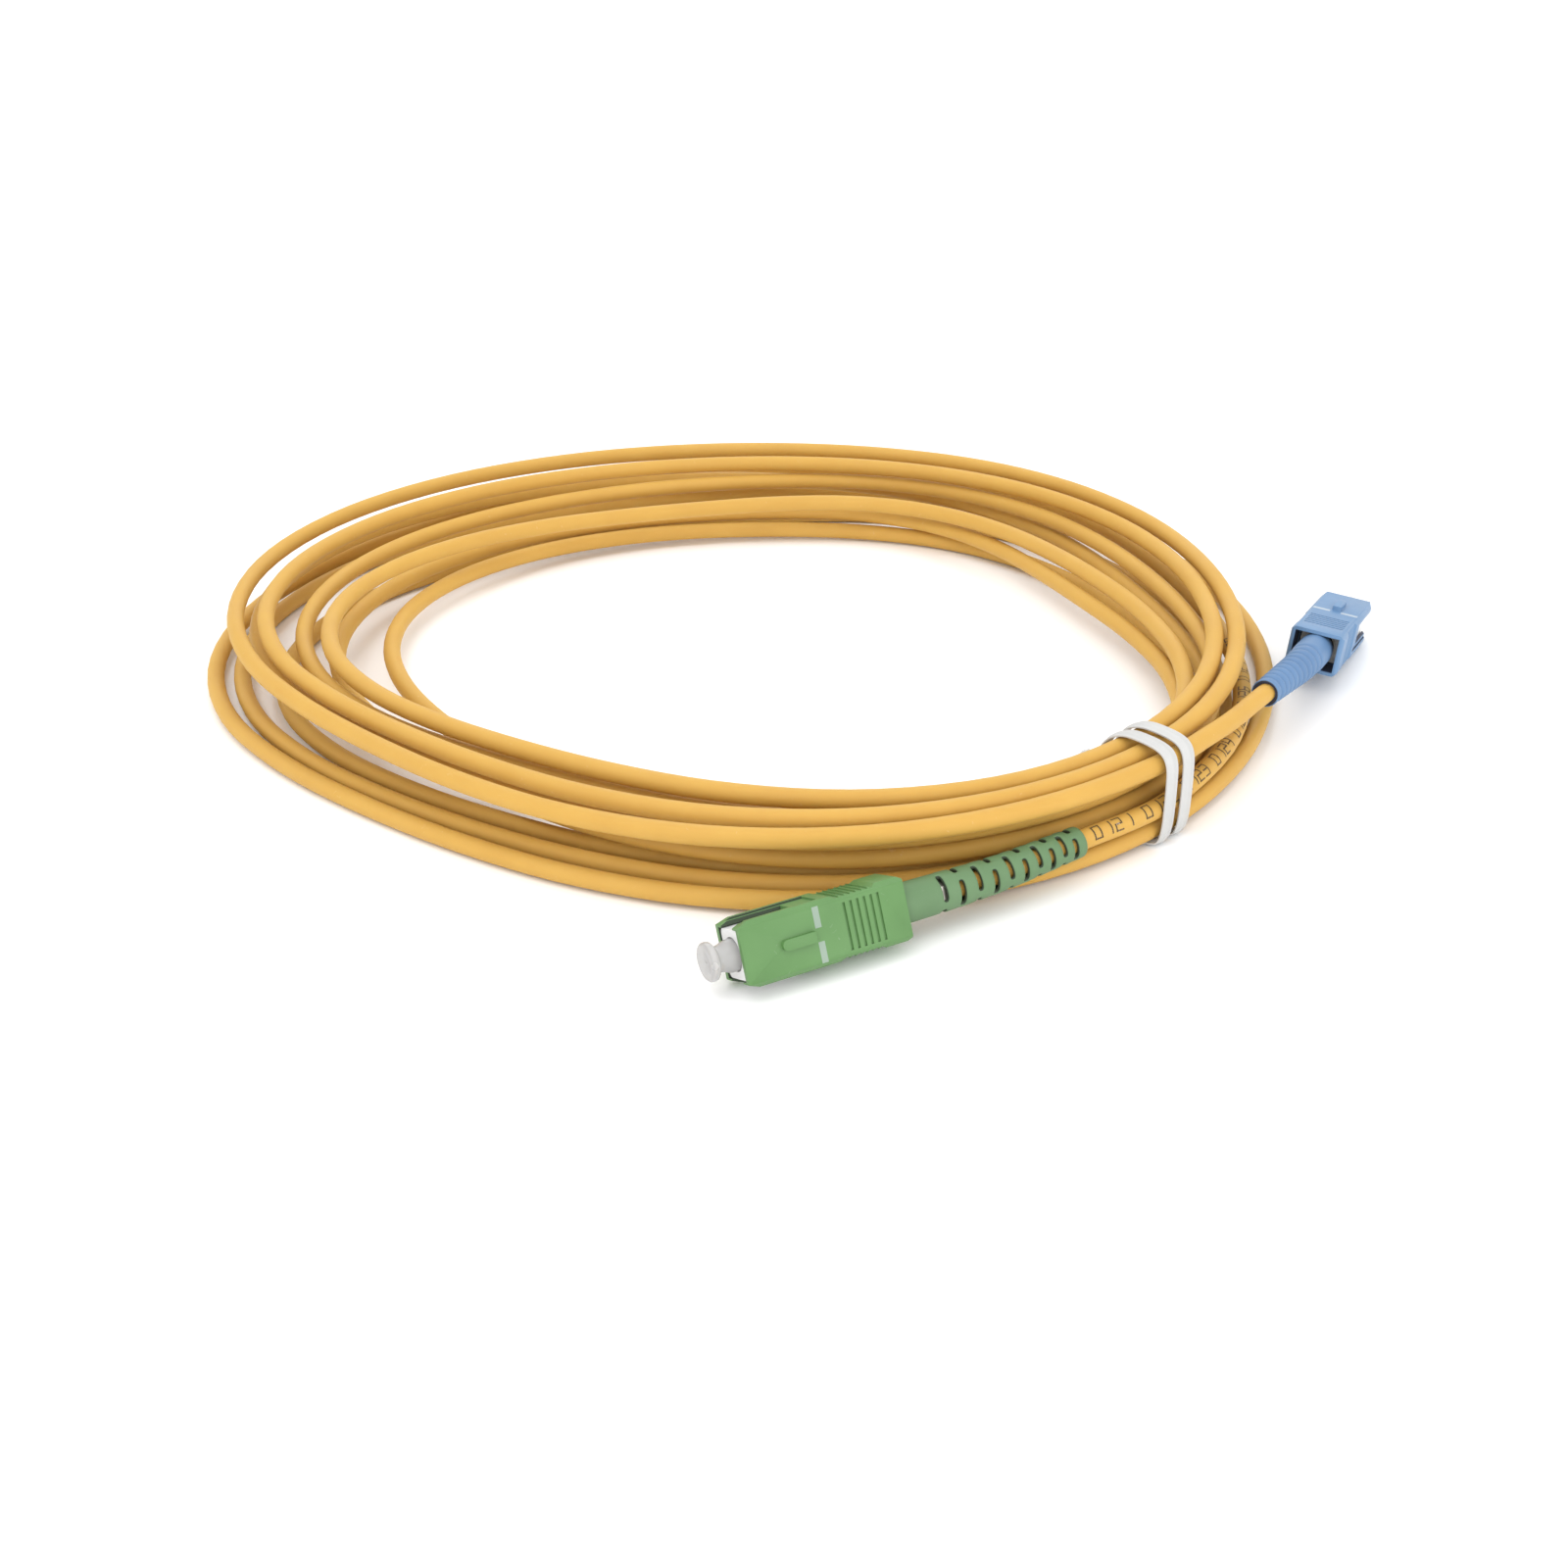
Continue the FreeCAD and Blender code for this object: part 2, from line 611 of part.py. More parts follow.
def cap_shape():
    """The dust cap: a sleeve over the ferrule, a neck and a round end to pull."""
    disc = CAP_FRONT - CAP_DISC_L
    outline = [(CAP_REAR, CAP_BORE_D), (CAP_REAR, CAP_SLEEVE_D)]
    outline += [(CAP_NECK_X - CAP_FLARE, CAP_SLEEVE_D), (CAP_NECK_X, CAP_NECK_D)]
    outline += [(disc - CAP_FLARE, CAP_NECK_D), (disc, CAP_DISC_D), (CAP_FRONT, CAP_DISC_D)]
    outline += [(CAP_FRONT, 0), (CAP_BORE_END, 0), (CAP_BORE_END, CAP_BORE_D)]
    return turned(outline)


def plug_pieces(angled):
    """The rigid pieces of one plug by name, in the plug's own axes."""
    return {
        "grip": grip_shape(),
        "plug_frame": frame_shape(),
        "ferrule": ferrule_shape(angled),
        "ferrule_flange": flange_shape(),
        "ferrule_spring": spring_shape(),
        "stop_ring": stop_ring_shape(),
        "crimp_sleeve": crimp_sleeve_shape(),
        "aramid_yarn": yarn_shape(),
        "buffered_fibre": buffer_shape(),
        "bare_fibre": bare_fibre_shape(),
        "dust_cap": cap_shape(),
    }


def plug_axes(place):
    """The plug's origin and its x, y and z directions in the cord's frame."""
    origin, yaw, pitch, roll = place
    yaw = math.radians(yaw)
    pitch = math.radians(pitch)
    roll = math.radians(roll)
    x = Vector(math.cos(pitch) * math.cos(yaw), math.cos(pitch) * math.sin(yaw), math.sin(pitch))
    level = Vector(-math.sin(yaw), math.cos(yaw), 0)
    over = x.cross(level)
    y = level * math.cos(roll) + over * math.sin(roll)
    z = over * math.cos(roll) - level * math.sin(roll)
    return origin, x, y, z


def put(shape, place):
    """A copy of a shape built in the plug's axes, moved to where the plug lies."""
    origin, x, y, z = plug_axes(place)
    columns = (x, y, z, origin)
    rows = [[column[axis] for column in columns] for axis in range(3)]
    matrix = FreeCAD.Matrix(*rows[0], *rows[1], *rows[2], 0, 0, 0, 1)
    moved = shape.copy()
    moved.Placement = FreeCAD.Placement(matrix)
    return moved


def lead_edges(name, place, route, coil_end, coil_way):
    """A lead's path from inside its plug through the route to the coil's end."""
    origin, x, _, _ = plug_axes(place)
    points = [origin + x * CORD_START, origin + x * CORD_KNEE] + list(route)
    points.append(coil_end + coil_way * 2 * CORD_D)
    points.append(coil_end)
    return rounded_edges(name, points)


def lead_shape(edges):
    """The jacketed cable of a lead, hollow at the plug end where the buffer enters it."""
    start, way = place_at(edges, 0)
    tube = sweep(edges, section(start, way))
    bore_start = start - way * OVERCUT
    return tube.cut(Part.makeCylinder(CORD_BORE_D / 2, CORD_BORE_L + OVERCUT, bore_start, way))


def boot_ring(place, edges, distance, diameter):
    """A many-sided ring about the boot's centre line, a distance behind the grip."""
    origin, along, _, key_way = plug_axes(place)
    point = origin - along * distance
    way = along * -1
    if distance > -CORD_START:
        point, way = place_at(edges, distance + CORD_START)
    up = (key_way - way * key_way.dot(way)).normalize()
    side = way.cross(up)
    corners = []
    for index in range(BOOT_SIDES + 1):
        angle = 2 * math.pi * (index + 0.5) / BOOT_SIDES
        corners.append(point + (up * math.cos(angle) + side * math.sin(angle)) * (diameter / 2))
    return Part.makePolygon(corners)


def boot_outer(distance):
    """The boot's plain diameter at a distance behind the grip."""
    share = max(0.0, (distance - BOOT_PLAIN_L) / (BOOT_L - BOOT_PLAIN_L))
    return BOOT_ROOT_D + (BOOT_END_D - BOOT_ROOT_D) * share


def boot_stations():
    """Distances behind the grip of the slots or rings, which draw closer towards the cable."""
    stations = [BOOT_PLAIN_L + BOOT_FIRST_STEP / 2]
    for index in range(BOOT_STATIONS - 1):
        shrink = (BOOT_FIRST_STEP - BOOT_LAST_STEP) * index / (BOOT_STATIONS - 2)
        stations.append(stations[-1] + BOOT_FIRST_STEP - shrink)
    return stations


def boot_slots(place, edges):
    """The cutters of the slots: three round the boot at each station, turned at every other one."""
    key_way = plug_axes(place)[3]
    cutters = []
    for index, distance in enumerate(boot_stations()):
        point, way = place_at(edges, distance + CORD_START)
        point -= way * (BOOT_SLOT_W / 2)
        up = (key_way - way * key_way.dot(way)).normalize()
        side = way.cross(up)
        for number in range(BOOT_SLOTS):
            middle = math.radians(SLOT_ANGLES[index % 2] + 360 / BOOT_SLOTS * number)
            corners = [point]
            for share in (-0.5, 0.0, 0.5):
                angle = middle + math.radians(BOOT_SLOT_ARC) * share
                corners.append(point + (up * math.cos(angle) + side * math.sin(angle)) * BOOT_ROOT_D)
            wedge = Part.Face(Part.makePolygon(corners + [point]))
            cutters.append(wedge.extrude(way * BOOT_SLOT_W))
    return cutters


def boot_shape(place, edges, slotted):
    """The flexible boot, bent with the lead: plain at its root, then slotted or ringed."""
    outline = [(-BOOT_FRONT, 0.0), (BOOT_PLAIN_L, 0.0)]
    if slotted:
        outline += [(BOOT_PLAIN_L + (BOOT_L - BOOT_PLAIN_L) * share / 3, 0.0) for share in (1, 2)]
    else:
        half = BOOT_RING_L / 2
        for station in boot_stations():
            outline += [(station - half, 0.0), (station, BOOT_RING_DEPTH), (station + half, 0.0)]
    outline.append((BOOT_L, 0.0))
    outside = [boot_ring(place, edges, at, boot_outer(at) - 2 * depth) for at, depth in outline]
    root_end = BOOT_ROOT_CONE_L - SLEEVE_END
    bore = [(-BOOT_FRONT - OVERCUT, BOOT_ROOT_BORE_D), (root_end, BOOT_ROOT_BORE_D)]
    bore.append((root_end + BOOT_ROOT_CONE_L, BOOT_BORE_D))
    bore += [(root_end + (BOOT_L - root_end) * share / 4, BOOT_BORE_D) for share in (1, 2, 3)]
    bore.append((BOOT_L + OVERCUT / 2, BOOT_BORE_D))
    inside = [boot_ring(place, edges, at, diameter) for at, diameter in bore]
    cuts = boot_slots(place, edges) if slotted else []
    return Part.makeLoft(outside, True, True).cut([Part.makeLoft(inside, True, True)] + cuts)


def tie_edges():
    """The twist tie's path: two wraps round the bundle, with both tails inside the coil."""
    middle = coil_point(0)
    way = coil_direction(0)
    outward = way.cross(UP).normalize()
    base = middle - outward * (TURN_PITCH * (1 - PASSES[0][0]))
    flat = list(TIE_FIRST_TAIL) + list(TIE_LOOP) * TIE_WRAPS + list(TIE_LAST_TAIL)
    points = []
    for index, (out, height) in enumerate(flat):
        share = index / (len(flat) - 1) - 0.5
        point = base + outward * out + way * (TIE_PITCH * TIE_WRAPS * share)
        points.append(Vector(point.x, point.y, height))
    return rounded_edges("tie", points, TIE_BEND_R), way


def rectangle(middle, wide, thick):
    """A rectangle from its middle and two half sides."""
    ways = (wide + thick, thick - wide, -wide - thick, wide - thick, wide + thick)
    return Part.makePolygon([middle + way for way in ways])


def tie_band(edges, across, width, thickness):
    """A flat band along the tie's path, its width always along the cable."""
    sections = []
    for index, edge in enumerate(edges):
        ends = (edge.FirstParameter, edge.LastParameter)
        for at in (sum(ends) / 2,) if index % 2 else ends:
            over = across.cross(edge.tangentAt(at)).normalize()
            sections.append(rectangle(edge.valueAt(at), across * (width / 2), over * (thickness / 2)))
    return Part.makeLoft(sections, True, True)


def export(name, shape):
    """Write one node and report its size and whether it is sound."""
    solids = len(shape.Solids)
    print(name, "solids", solids, "valid", shape.isValid(), "volume", round(shape.Volume, 3))
    shape.exportStep("parts/" + name + ".step")


def main():
    """Build every piece and write it to parts/."""
    os.makedirs("parts", exist_ok=True)
    edges = coil_edges()
    start = edges[0].valueAt(edges[0].FirstParameter)
    stop = edges[-1].valueAt(edges[-1].LastParameter)
    first_way = coil_direction(0)
    last_way = coil_direction(TURNS)
    coil = sweep(edges, section(start, first_way))
    length = sum(edge.Length for edge in edges)
    share = coil.Volume / (length * math.pi * CORD_D ** 2 / 4)
    print("coil length", round(length, 1), "mm")
    print("coil volume over its section times its length", round(share, 4))
    print("coil least gap to itself", round(least_gap(edges), 3), "mm")
    shapes = {"cable_coil": coil}
    plugs = (
        ("green", GREEN_PLACE, GREEN_ROUTE, start, first_way * -1, True),
        ("blue", BLUE_PLACE, BLUE_ROUTE, stop, last_way, False),
    )
    for colour, place, route, end, way, angled in plugs:
        for piece, shape in plug_pieces(angled).items():
            shapes[colour + "_" + piece] = put(shape, place)
        path = lead_edges(colour + " lead", place, route, end, way)
        print(colour, "lead length", round(sum(edge.Length for edge in path), 1))
        shapes[colour + "_lead"] = lead_shape(path)
        shapes[colour + "_boot"] = boot_shape(place, path, angled)
    path, way = tie_edges()
    wire = tie_band(path, way, TIE_WIRE, TIE_WIRE)
    sheath = tie_band(path, way, TIE_W, TIE_T).cut(wire)
    shapes["tie_sheath"] = sheath
    shapes["tie_wire"] = wire
    box = FreeCAD.BoundBox()
    for name, shape in shapes.items():
        export(name, shape)
        box.add(shape.BoundBox)
    print("box", box)
    return shapes


shapes = main()
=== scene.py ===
"""Blender scene of a coiled simplex fibre optic patch cord with a push-pull plug at each end.

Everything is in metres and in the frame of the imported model: X to the viewer's right, Y away
from the viewer and Z up from the floor. Inside a plug, x runs along the fibre from the grip's
rear face towards the ferrule's tip, y across the wide face and z out of the key's face.
"""
from __future__ import annotations

import json
import logging
import math
from dataclasses import dataclass
from dataclasses import field
from enum import Enum

import bmesh
import bpy
from mathutils import Matrix
from mathutils import Vector

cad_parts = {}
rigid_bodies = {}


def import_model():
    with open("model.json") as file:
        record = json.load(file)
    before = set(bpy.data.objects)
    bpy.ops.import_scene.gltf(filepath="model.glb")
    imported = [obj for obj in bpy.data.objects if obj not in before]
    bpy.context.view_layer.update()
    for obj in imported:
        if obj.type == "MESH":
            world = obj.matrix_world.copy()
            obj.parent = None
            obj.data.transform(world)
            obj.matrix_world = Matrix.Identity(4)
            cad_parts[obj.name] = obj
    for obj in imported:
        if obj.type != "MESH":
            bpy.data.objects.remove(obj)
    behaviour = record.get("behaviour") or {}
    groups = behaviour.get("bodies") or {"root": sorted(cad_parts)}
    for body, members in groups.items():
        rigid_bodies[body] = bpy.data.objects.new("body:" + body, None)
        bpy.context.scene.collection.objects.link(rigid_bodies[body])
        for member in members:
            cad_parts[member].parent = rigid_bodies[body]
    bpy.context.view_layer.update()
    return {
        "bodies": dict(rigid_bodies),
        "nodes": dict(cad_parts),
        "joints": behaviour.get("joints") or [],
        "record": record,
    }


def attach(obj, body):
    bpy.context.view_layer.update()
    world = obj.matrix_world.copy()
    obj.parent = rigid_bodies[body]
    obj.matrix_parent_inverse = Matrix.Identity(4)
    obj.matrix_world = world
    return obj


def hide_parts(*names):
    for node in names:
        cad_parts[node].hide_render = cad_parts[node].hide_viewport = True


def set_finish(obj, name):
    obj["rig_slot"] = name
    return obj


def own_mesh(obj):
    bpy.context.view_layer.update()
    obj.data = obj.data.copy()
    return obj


MM = 0.001
UP = Vector((0.0, 0.0, 1.0))
ALONG = Vector((1.0, 0.0, 0.0))
log = logging.getLogger("patch_cord")

Pair = tuple[float, float]
Triple = tuple[float, float, float]


class PlugKind(Enum):
    """The two plugs, by the colour of their grips."""

    ANGLED = "green"
    FLAT = "blue"


class SheetBuilder:
    """Adds nodes to one node tree and joins them."""

    def __init__(self, tree: bpy.types.NodeTree) -> None:
        """Keep the tree that the nodes go into."""
        self.tree = tree

    def add(self, kind: str, **values: object) -> bpy.types.Node:
        """Add a node.

        Args:
            kind: The node's type name.
            **values: Properties of the node; a name that starts with an upper-case letter is an
                input socket, with underscores for its spaces. A value that is a socket is linked.

        Returns:
            The node.
        """
        node = self.tree.nodes.new(kind)
        for name, value in values.items():
            if not name[0].isupper():
                setattr(node, name, value)
        for name, value in values.items():
            if name[0].isupper():
                self.feed(node.inputs[name.replace("_", " ")], value)
        return node

    def feed(self, socket: bpy.types.NodeSocket, value: object) -> None:
        """Link a socket to another one, or set its own value.

        Args:
            socket: The input socket.
            value: The socket to link it to, or the value.
        """
        if isinstance(value, bpy.types.NodeSocket):
            self.tree.links.new(value, socket)
        else:
            socket.default_value = value

    def between(self, share: object, low: object, high: object) -> bpy.types.NodeSocket:
        """A colour between two colours.

        Args:
            share: The socket that says how far from low to high.
            low: Colour at 0.
            high: Colour at 1.

        Returns:
            The mixed colour's socket.
        """
        mix = self.add("ShaderNodeMix", data_type="RGBA")
        self.feed(mix.inputs[0], share)
        self.feed(mix.inputs[6], low)
        self.feed(mix.inputs[7], high)
        return mix.outputs[2]

    def rescale(
        self, value: object, start: float, end: float, low: float = 0.0, high: float = 1.0
    ) -> bpy.types.NodeSocket:
        """A number carried from one range to another and held inside it.

        Args:
            value: The socket to carry over.
            start: Value that gives low.
            end: Value that gives high.
            low: Result at start.
            high: Result at end.

        Returns:
            The result's socket.
        """
        node = self.add(
            "ShaderNodeMapRange", Value=value, From_Min=start, From_Max=end, To_Min=low, To_Max=high
        )
        return node.outputs["Result"]


class SurfaceGroups:
    """Shader node groups that several finishes share, each made once."""

    def __init__(self) -> None:
        """Make the groups."""
        self.grain = self.make_grain()
        self.handling = self.make_handling()

    @staticmethod
    def start(name: str, inputs: dict[str, float], outputs: tuple[str, ...]) -> tuple:
        """Start a group with number sockets.

        Args:
            name: The group's name.
            inputs: Input names with their first values.
            outputs: Output names.

        Returns:
            The group, its builder, its input node, its output node and the place on the surface.
        """
        group = bpy.data.node_groups.new(name, "ShaderNodeTree")
        for label, value in inputs.items():
            socket = group.interface.new_socket(name=label, in_out="INPUT", socket_type="NodeSocketFloat")
            socket.default_value = value
        for label in outputs:
            group.interface.new_socket(name=label, in_out="OUTPUT", socket_type="NodeSocketFloat")
        sheet = SheetBuilder(group)
        given = sheet.add("NodeGroupInput")
        result = sheet.add("NodeGroupOutput")
        place = sheet.add("ShaderNodeTexCoord").outputs["Object"]
        return group, sheet, given, result, place

    def make_grain(self) -> bpy.types.NodeTree:
        """Fine grain for a moulded or drawn surface, with slow mottling of its colour."""
        group, sheet, given, result, place = self.start(
            "moulded_grain", {"Grain Scale": 4000.0, "Mottle Scale": 150.0}, ("Grain", "Mottle")
        )
        fine = sheet.add("ShaderNodeTexNoise", Vector=place, Scale=given.outputs["Grain Scale"], Detail=2.0)
        slow = sheet.add("ShaderNodeTexNoise", Vector=place, Scale=given.outputs["Mottle Scale"], Detail=3.0)
        sheet.feed(result.inputs["Grain"], fine.outputs["Fac"])
        sheet.feed(result.inputs["Mottle"], sheet.rescale(slow.outputs["Fac"], 0.3, 0.7))
        return group

    def make_handling(self) -> bpy.types.NodeTree:
        """Rubbed patches and a few fine scuffs left by handling."""
        group, sheet, given, result, place = self.start(
            "handling_marks", {"Patch Scale": 60.0, "Scuff Scale": 900.0}, ("Rubbed", "Scuffed")
        )
        patch = sheet.add("ShaderNodeTexNoise", Vector=place, Scale=given.outputs["Patch Scale"], Detail=4.0)
        scuff = sheet.add(
            "ShaderNodeTexNoise", Vector=place, Scale=given.outputs["Scuff Scale"], Detail=6.0, Distortion=1.5
        )
        sheet.feed(result.inputs["Rubbed"], sheet.rescale(patch.outputs["Fac"], 0.4, 0.65))
        sheet.feed(result.inputs["Scuffed"], sheet.rescale(scuff.outputs["Fac"], 0.68, 0.74))
        return group


@dataclass(frozen=True)
class Finish:
    """A surface whose colour, gloss and grain vary over it."""

    name: str
    light: Triple
    dark: Triple
    gloss_low: float
    gloss_high: float
    grain_scale: float = 4000.0
    mottle_scale: float = 150.0
    bump: float = 0.15
    depth: float = 0.02 * MM
    metallic: float = 0.0
    sheen: float = 0.0
    subsurface: float = 0.0
    subsurface_radius: Triple = (1.0, 0.9, 0.8)
    subsurface_scale: float = 1.0 * MM
    transmission: float = 0.0
    specular: float = 0.5
    scuff: float = 0.12
    scuff_white: float = 0.4

    def material(self, groups: SurfaceGroups) -> bpy.types.Material:
        """Make the finish's material.

        Args:
            groups: The node groups that it places.

        Returns:
            The material.
        """
        material = bpy.data.materials.new(self.name)
        material.use_nodes = True
        sheet = SheetBuilder(material.node_tree)
        shader = material.node_tree.nodes["Principled BSDF"]
        grain = sheet.add(
            "ShaderNodeGroup",
            node_tree=groups.grain,
            Grain_Scale=self.grain_scale,
            Mottle_Scale=self.mottle_scale,
        )
        marks = sheet.add("ShaderNodeGroup", node_tree=groups.handling)
        base = sheet.between(grain.outputs["Mottle"], (*self.dark, 1.0), (*self.light, 1.0))
        worn = sheet.add("ShaderNodeMath", operation="MULTIPLY")
        sheet.feed(worn.inputs[0], marks.outputs["Scuffed"])
        sheet.feed(worn.inputs[1], self.scuff)
        pale = tuple((1 - self.scuff_white) * part + self.scuff_white for part in self.light)
        sheet.feed(shader.inputs["Base Color"], sheet.between(worn.outputs[0], base, (*pale, 1.0)))
        gloss = sheet.rescale(marks.outputs["Rubbed"], 0.0, 1.0, self.gloss_low, self.gloss_high)
        sheet.feed(shader.inputs["Roughness"], gloss)
        bump = sheet.add(
            "ShaderNodeBump", Height=grain.outputs["Grain"], Strength=self.bump, Distance=self.depth
        )
        sheet.feed(shader.inputs["Normal"], bump.outputs["Normal"])
        constants = {
            "Metallic": self.metallic,
            "Specular IOR Level": self.specular,
            "Sheen Weight": self.sheen,
            "Transmission Weight": self.transmission,
            "Subsurface Weight": self.subsurface,
            "Subsurface Radius": self.subsurface_radius,
            "Subsurface Scale": self.subsurface_scale,
        }
        for label, value in constants.items():
            shader.inputs[label].default_value = value
        return material


# Each finish: name, light and dark colours, least and greatest roughness, scales of grain and mottling
FINISHES = {
    "jacket": Finish(
        "yellow_jacket", (0.575, 0.340, 0.074), (0.548, 0.316, 0.065), 0.56, 0.68, 3000.0, 120.0,
        bump=0.12, specular=0.3, subsurface=0.3,
    ),
    "print": Finish(
        "jacket_print", (0.10, 0.065, 0.03), (0.06, 0.04, 0.02), 0.6, 0.7, 9000.0, bump=0.3, scuff=0.6
    ),
    "green_plastic": Finish(
        "green_moulding", (0.101, 0.228, 0.069), (0.088, 0.205, 0.060), 0.42, 0.56, 3500.0
    ),
    "blue_plastic": Finish(
        "blue_moulding", (0.120, 0.234, 0.404), (0.107, 0.213, 0.375), 0.40, 0.54, 3500.0
    ),
    # Painted shade: darker copies of the green and blue plastics for the grips' and boots' insides, the
    # boots' slot walls and the blue boot's creases
    "green_hollow": Finish("green_painted_shade_finish", (0.040, 0.062, 0.034), (0.034, 0.052, 0.029), 0.6, 0.7, 5000.0),
    "blue_hollow": Finish("blue_painted_shade_finish", (0.038, 0.050, 0.092), (0.032, 0.042, 0.080), 0.6, 0.7, 5000.0),
    "green_boot": Finish(
        "green_boot_rubber", (0.112, 0.206, 0.093), (0.098, 0.186, 0.081), 0.5, 0.62, 5000.0
    ),
    "blue_boot": Finish(
        "blue_boot_rubber", (0.110, 0.211, 0.378), (0.095, 0.187, 0.344), 0.5, 0.62, 5000.0
    ),
    "green_stripes": Finish(
        "soft_stripe_paint", (0.258, 0.335, 0.267), (0.232, 0.310, 0.241), 0.5, 0.6, 9000.0, bump=0.5
    ),
    "blue_stripes": Finish(
        "pale_stripe_paint", (0.413, 0.482, 0.533), (0.361, 0.430, 0.499), 0.5, 0.6, 9000.0, bump=0.5
    ),
    "frame_plastic": Finish(
        "white_moulding", (0.702, 0.702, 0.693), (0.648, 0.648, 0.639), 0.3, 0.42, 3500.0
    ),
    "cap_plastic": Finish(
        "milky_cap", (0.634, 0.625, 0.616), (0.581, 0.572, 0.563), 0.16, 0.3, 2500.0,
        bump=0.05, subsurface=0.35, transmission=0.45, scuff=0.1,
    ),
    "tie_plastic": Finish(
        "tie_coating", (0.521, 0.521, 0.512), (0.479, 0.479, 0.470), 0.45, 0.6, 2500.0, bump=0.12
    ),
    "zirconia": Finish(
        "polished_ceramic", (0.84, 0.83, 0.80), (0.80, 0.79, 0.76), 0.08, 0.16, 8000.0, bump=0.02
    ),
    "nickel_brass": Finish(
        "nickel_plate", (0.72, 0.69, 0.62), (0.62, 0.59, 0.52), 0.2, 0.34, 5000.0, bump=0.08, metallic=1.0
    ),
    "nickel_copper": Finish(
        "crimped_plate", (0.68, 0.64, 0.58), (0.58, 0.54, 0.49), 0.26, 0.42, 5000.0, bump=0.1, metallic=1.0
    ),
    "spring_steel": Finish(
        "drawn_steel", (0.62, 0.62, 0.62), (0.50, 0.50, 0.51), 0.22, 0.36, 6000.0, bump=0.08, metallic=1.0
    ),
    "aramid": Finish(
        "aramid_yarn", (0.78, 0.58, 0.16), (0.60, 0.40, 0.09), 0.55, 0.7, 9000.0, bump=0.8, sheen=0.4
    ),
    "buffer_plastic": Finish("tight_buffer", (0.86, 0.86, 0.83), (0.80, 0.80, 0.77), 0.36, 0.48),
    "silica_glass": Finish(
        "bare_glass", (0.95, 0.96, 0.97), (0.90, 0.92, 0.94), 0.03, 0.06,
        bump=0.01, transmission=0.95, scuff=0.0,
    ),
    "floor": Finish(
        "pale_floor", (0.95, 0.95, 0.95), (0.93, 0.93, 0.93), 0.8, 0.9, 800.0, 8.0, bump=0.02, scuff=0.0
    ),
}


class Wardrobe:
    """Makes each finish's material once and hands it out by name."""

    def __init__(self) -> None:
        """Make the shared groups."""
        self.groups = SurfaceGroups()
        self.made: dict[str, bpy.types.Material] = {}

    def __getitem__(self, name: str) -> bpy.types.Material:
        """The material of a finish."""
        if name not in self.made:
            self.made[name] = FINISHES[name].material(self.groups)
        return self.made[name]


def new_object(name: str, data: bpy.types.ID) -> bpy.types.Object:
    """Link an object into the scene.

    Args:
        name: The object's name.
        data: Its mesh, curve or lamp.

    Returns:
        The object.
    """
    made = bpy.data.objects.new(name, data)
    bpy.context.scene.collection.objects.link(made)
    return made


def mesh_object(name: str, points: list[Vector], faces: list[tuple[int, ...]]) -> bpy.types.Object:
    """Make a mesh object with outward faces.

    Args:
        name: The object's name.
        points: Its corners.
        faces: Indices of each face's corners.

    Returns:
        The object.
    """
    mesh = bpy.data.meshes.new(name)
    mesh.from_pydata([tuple(point) for point in points], [], faces)
    work = bmesh.new()
    work.from_mesh(mesh)
    bmesh.ops.recalc_face_normals(work, faces=work.faces)
    work.to_mesh(mesh)
    work.free()
    return new_object(name, mesh)


def band(start: int, end: int, count: int) -> list[tuple[int, ...]]:
    """The faces between two closed rings of corners.

    Args:
        start: Index of the first ring's first corner.
        end: Index of the second ring's first corner.
        count: How many corners a ring has.

    Returns:
        One face for each corner.
    """
    pairs = [(index, (index + 1) % count) for index in range(count)]
    return [(start + here, start + after, end + after, end + here) for here, after in pairs]


def shade_smooth(piece: bpy.types.Object) -> None:
    """Shade every face of a piece smoothly."""
    for polygon in piece.data.polygons:
        polygon.use_smooth = True


def evaluated_mesh(piece: bpy.types.Object) -> bpy.types.Mesh:
    """The mesh of a curve, or of a piece with its modifiers applied."""
    graph = bpy.context.evaluated_depsgraph_get()
    return bpy.data.meshes.new_from_object(piece.evaluated_get(graph))


def settle(piece: bpy.types.Object) -> bpy.types.Object:
    """Apply a piece's modifiers to its mesh.

    Args:
        piece: The piece.

    Returns:
        The same piece, without modifiers.
    """
    mesh = evaluated_mesh(piece)
    mesh.name = piece.name
    piece.modifiers.clear()
    piece.data = mesh
    return piece


def soften(piece: bpy.types.Object, width: float, angle: float = 35.0) -> bpy.types.Object:
    """Round a piece's sharp edges, as a mould leaves them.

    Args:
        piece: The piece.
        width: How wide each rounding is.
        angle: Least angle, in degrees, of an edge that is rounded.

    Returns:
        The piece, with its modifiers applied.
    """
    bevel = piece.modifiers.new("rounded_edges", "BEVEL")
    bevel.width = width
    bevel.segments = 2
    bevel.limit_method = "ANGLE"
    bevel.angle_limit = math.radians(angle)
    bevel.harden_normals = True
    shade_smooth(piece)
    return settle(piece)


@dataclass(frozen=True)
class Placement:
    """Where a plug lies: the middle of its grip's rear face, then yaw, pitch and roll in degrees."""

    origin: Triple
    yaw: float
    pitch: float
    roll: float

    def matrix(self) -> Matrix:
        """The matrix from the plug's own axes to the cord's frame."""
        yaw = math.radians(self.yaw)
        pitch = math.radians(self.pitch)
        roll = math.radians(self.roll)
        along = Vector((math.cos(pitch) * math.cos(yaw), math.cos(pitch) * math.sin(yaw), math.sin(pitch)))
        level = Vector((-math.sin(yaw), math.cos(yaw), 0.0))
        over = along.cross(level)
        across = level * math.cos(roll) + over * math.sin(roll)
        key_way = over * math.cos(roll) - level * math.sin(roll)
        turned = Matrix((along, across, key_way)).transposed().to_4x4()
        return Matrix.Translation(Vector(self.origin) * MM) @ turned


